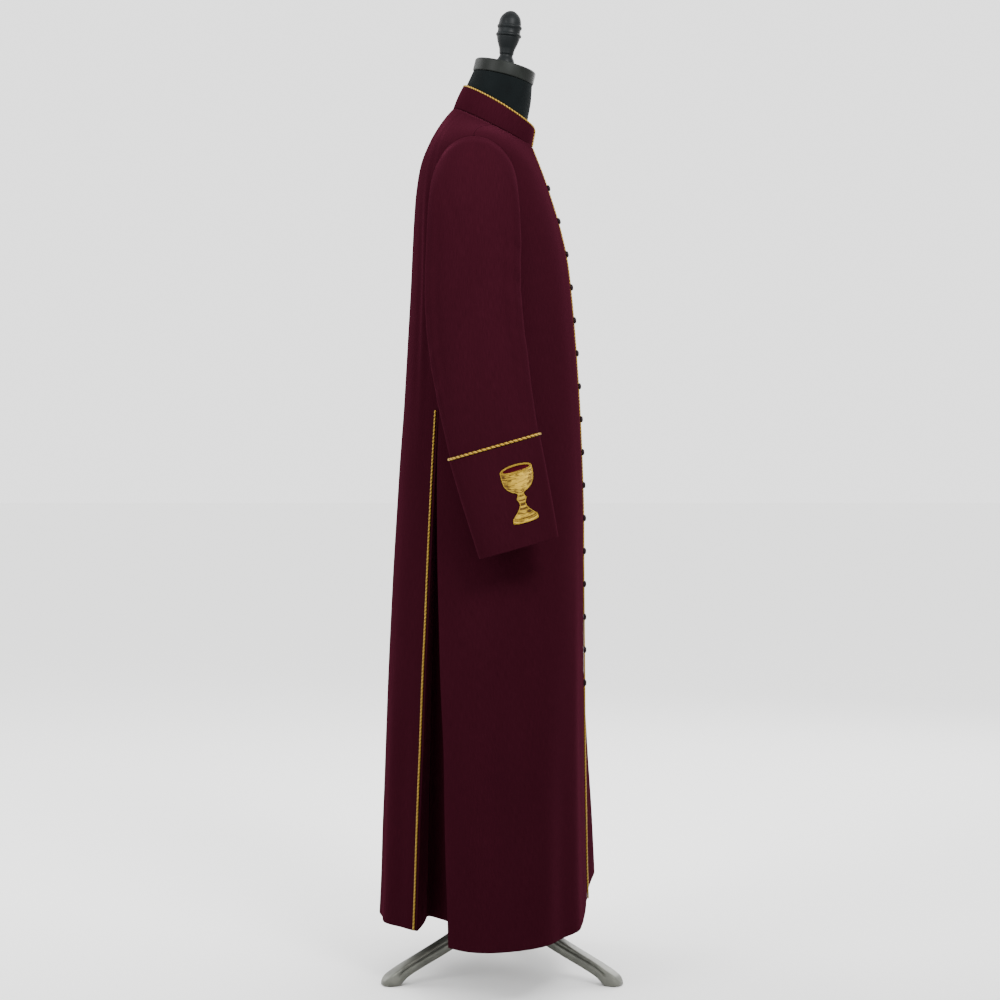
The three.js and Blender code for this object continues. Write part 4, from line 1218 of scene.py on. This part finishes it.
def jersey_material():
    look = Look(
        "black_jersey", JERSEY, 0.9, Sheen_Weight=0.008, Sheen_Tint=(0.8, 0.9, 0.95, 1),
        Specular_IOR_Level=0.04,
    )
    uv, u, v = look.flat_place()
    knit = look.math("MULTIPLY", look.wave(u, TAU / KNIT["wale"]), look.wave(v, TAU / KNIT["course"]))
    look.tint(look.noise(uv, (20, 12, 1), 3), (0.3, 0.75), (0.7, 1.35))
    look.bump(knit, 0.00008, 0.5)
    return look.material


def button_material():
    look = Look(
        "button_cloth", BUTTON_CLOTH, 0.6, Sheen_Weight=0.01, Sheen_Tint=(1, 0.4, 0.5, 1),
        Specular_IOR_Level=0.1,
    )
    place = look.place()
    weave = look.node("ShaderNodeTexWave", Vector=place, Scale=700.0, Distortion=0.6)
    look.tint(look.noise(place, 250), (0.3, 0.7), (0.7, 1.6))
    look.bump(weave.outputs["Fac"], 0.0001, 0.4)
    return look.material


def cap_material(name, color):
    look = Look(name, color, 0.38, Specular_IOR_Level=0.08)
    place = look.place()
    wear = look.noise(place, 45, 4)
    look.tint(wear, (0.35, 0.8), (0.7, 1.5))
    look.worn(wear, 0.25, 0.33)
    look.bump(look.noise(place, 600), 0.00005, 0.4)
    return look.material


def steel_material():
    look = Look("satin_steel", STEEL, 0.4, Metallic=0.5, Specular_IOR_Level=0.2)
    place = look.place()
    brush = look.noise(place, (400, 400, 30), 3)
    look.tint(look.noise(place, 30, 4), (0.3, 0.75), (0.7, 1.35))
    look.worn(brush, 0.25, 0.24)
    look.bump(brush, 0.00005, 0.35)
    return look.material


def build_garment():
    wine = cloth_material()
    cord_gold = gold_material("gold_cord", GOLD, DARK_GOLD)
    thread_gold = gold_material("gold_thread", THREAD, THREAD_DARK, 0.34, stops=(0.3, 0.5, 0.8))
    edge_thread = gold_material("light_gold_thread", scaled(THREAD, 1.3), scaled(THREAD, 0.6), 0.4)
    wine_thread = gold_material("wine_thread", WINE_THREAD, WINE_THREAD_DARK, 0.6, 0.03)
    sewn_on = {name: [] for name in CUTS}

    def cut(node, piece, thickness=CLOTH):
        finish_piece(thicken(piece, thickness), "cloth", wine, node)

    def sew(sheet, piece, node):
        sewn_on[sheet].append(finish_piece(piece, "piping", cord_gold, node))

    for hand, side in SIDES.items():
        cut(f"front_{side}", front_panel(hand))
        cut(f"sleeve_{side}", sleeve(hand), SLEEVE_CLOTH)
        cut(f"cuff_{side}", cuff(hand))
        cut(f"pleat_{side}", pleat(hand))
    cut("back", back_panel())
    cut("collar", collar())
    for hand, side in SIDES.items():
        sew("back", pleat_cord(hand), f"piping_pleat_{side}")
        sew(f"cuff_{side}", cuff_cord(hand), f"piping_cuff_{side}")
        sewn_on[f"cuff_{side}"] += chalice(hand, thread_gold, edge_thread, wine_thread)
    sew("collar", collar_cord(), "piping_collar")
    sew("front_right", front_cord(), "piping_front")
    sewn_on["front_right"] += buttons(button_material())


def build_stand():
    finish_piece(form_torso(), "form_jersey", jersey_material(), "form_torso")
    finish_piece(neck_cap(), "form_cap", cap_material("black_lacquer", BLACK_LACQUER), "neck_cap")
    finish_piece(finial(), "form_cap", cap_material("black_wood", BLACK_WOOD), "finial")
    steel = steel_material()
    finish_piece(pole(), "steel", steel, "pole")
    finish_piece(lathe("stand_hub_turned", HUB, 1.6, 72), "steel", steel, "stand_hub")
    for name, angle in LEGS.items():
        finish_piece(leg(name, angle * DEGREE), "steel", steel, name)


def build_studio():
    size = FLOOR["half"]
    corners = [(x * size, y * size, FLOOR["z"]) for x, y in ((-1, -1), (1, -1), (1, 1), (-1, 1))]
    mesh = bpy.data.meshes.new("floor")
    mesh.from_pydata(corners, [], [(0, 1, 2, 3)])
    mesh.materials.append(Look("pale_floor", PALE, 0.8, Specular_IOR_Level=0.1).material)
    plane = bpy.data.objects.new("floor", mesh)
    bpy.context.collection.objects.link(plane)
    world = bpy.data.worlds.new("studio")
    world.use_nodes = True
    world.node_tree.nodes["Background"].inputs["Color"].default_value = (1, 1, 1, 1)
    world.node_tree.nodes["Background"].inputs["Strength"].default_value = BACKDROP
    bpy.context.scene.world = world
    for name, light in LIGHTS.items():
        add_light(name, *light)


def add_light(name, position, target, size, power, spread):
    data = bpy.data.lights.new(name, "AREA")
    data.spread = spread
    data.shape = "DISK"
    data.size = size
    data.energy = power
    light = bpy.data.objects.new(name, data)
    light.location = position
    light.rotation_euler = (Vector(target) - Vector(position)).to_track_quat("-Z", "Y").to_euler()
    bpy.context.collection.objects.link(light)


def add_camera():
    data = bpy.data.cameras.new("camera")
    data.lens = CAMERA["lens"]
    data.sensor_width = CAMERA["sensor"]
    data.shift_y = CAMERA["shift"]
    camera = bpy.data.objects.new("camera", data)
    camera.location = (POLE_X - CAMERA["distance"], POLE_Y + CAMERA["across"], CAMERA["height"])
    camera.rotation_euler = (math.pi / 2, 0, -math.pi / 2)
    bpy.context.collection.objects.link(camera)
    bpy.context.scene.camera = camera


add_camera()
build_garment()
build_stand()
build_studio()

bpy.context.view_layer.update()
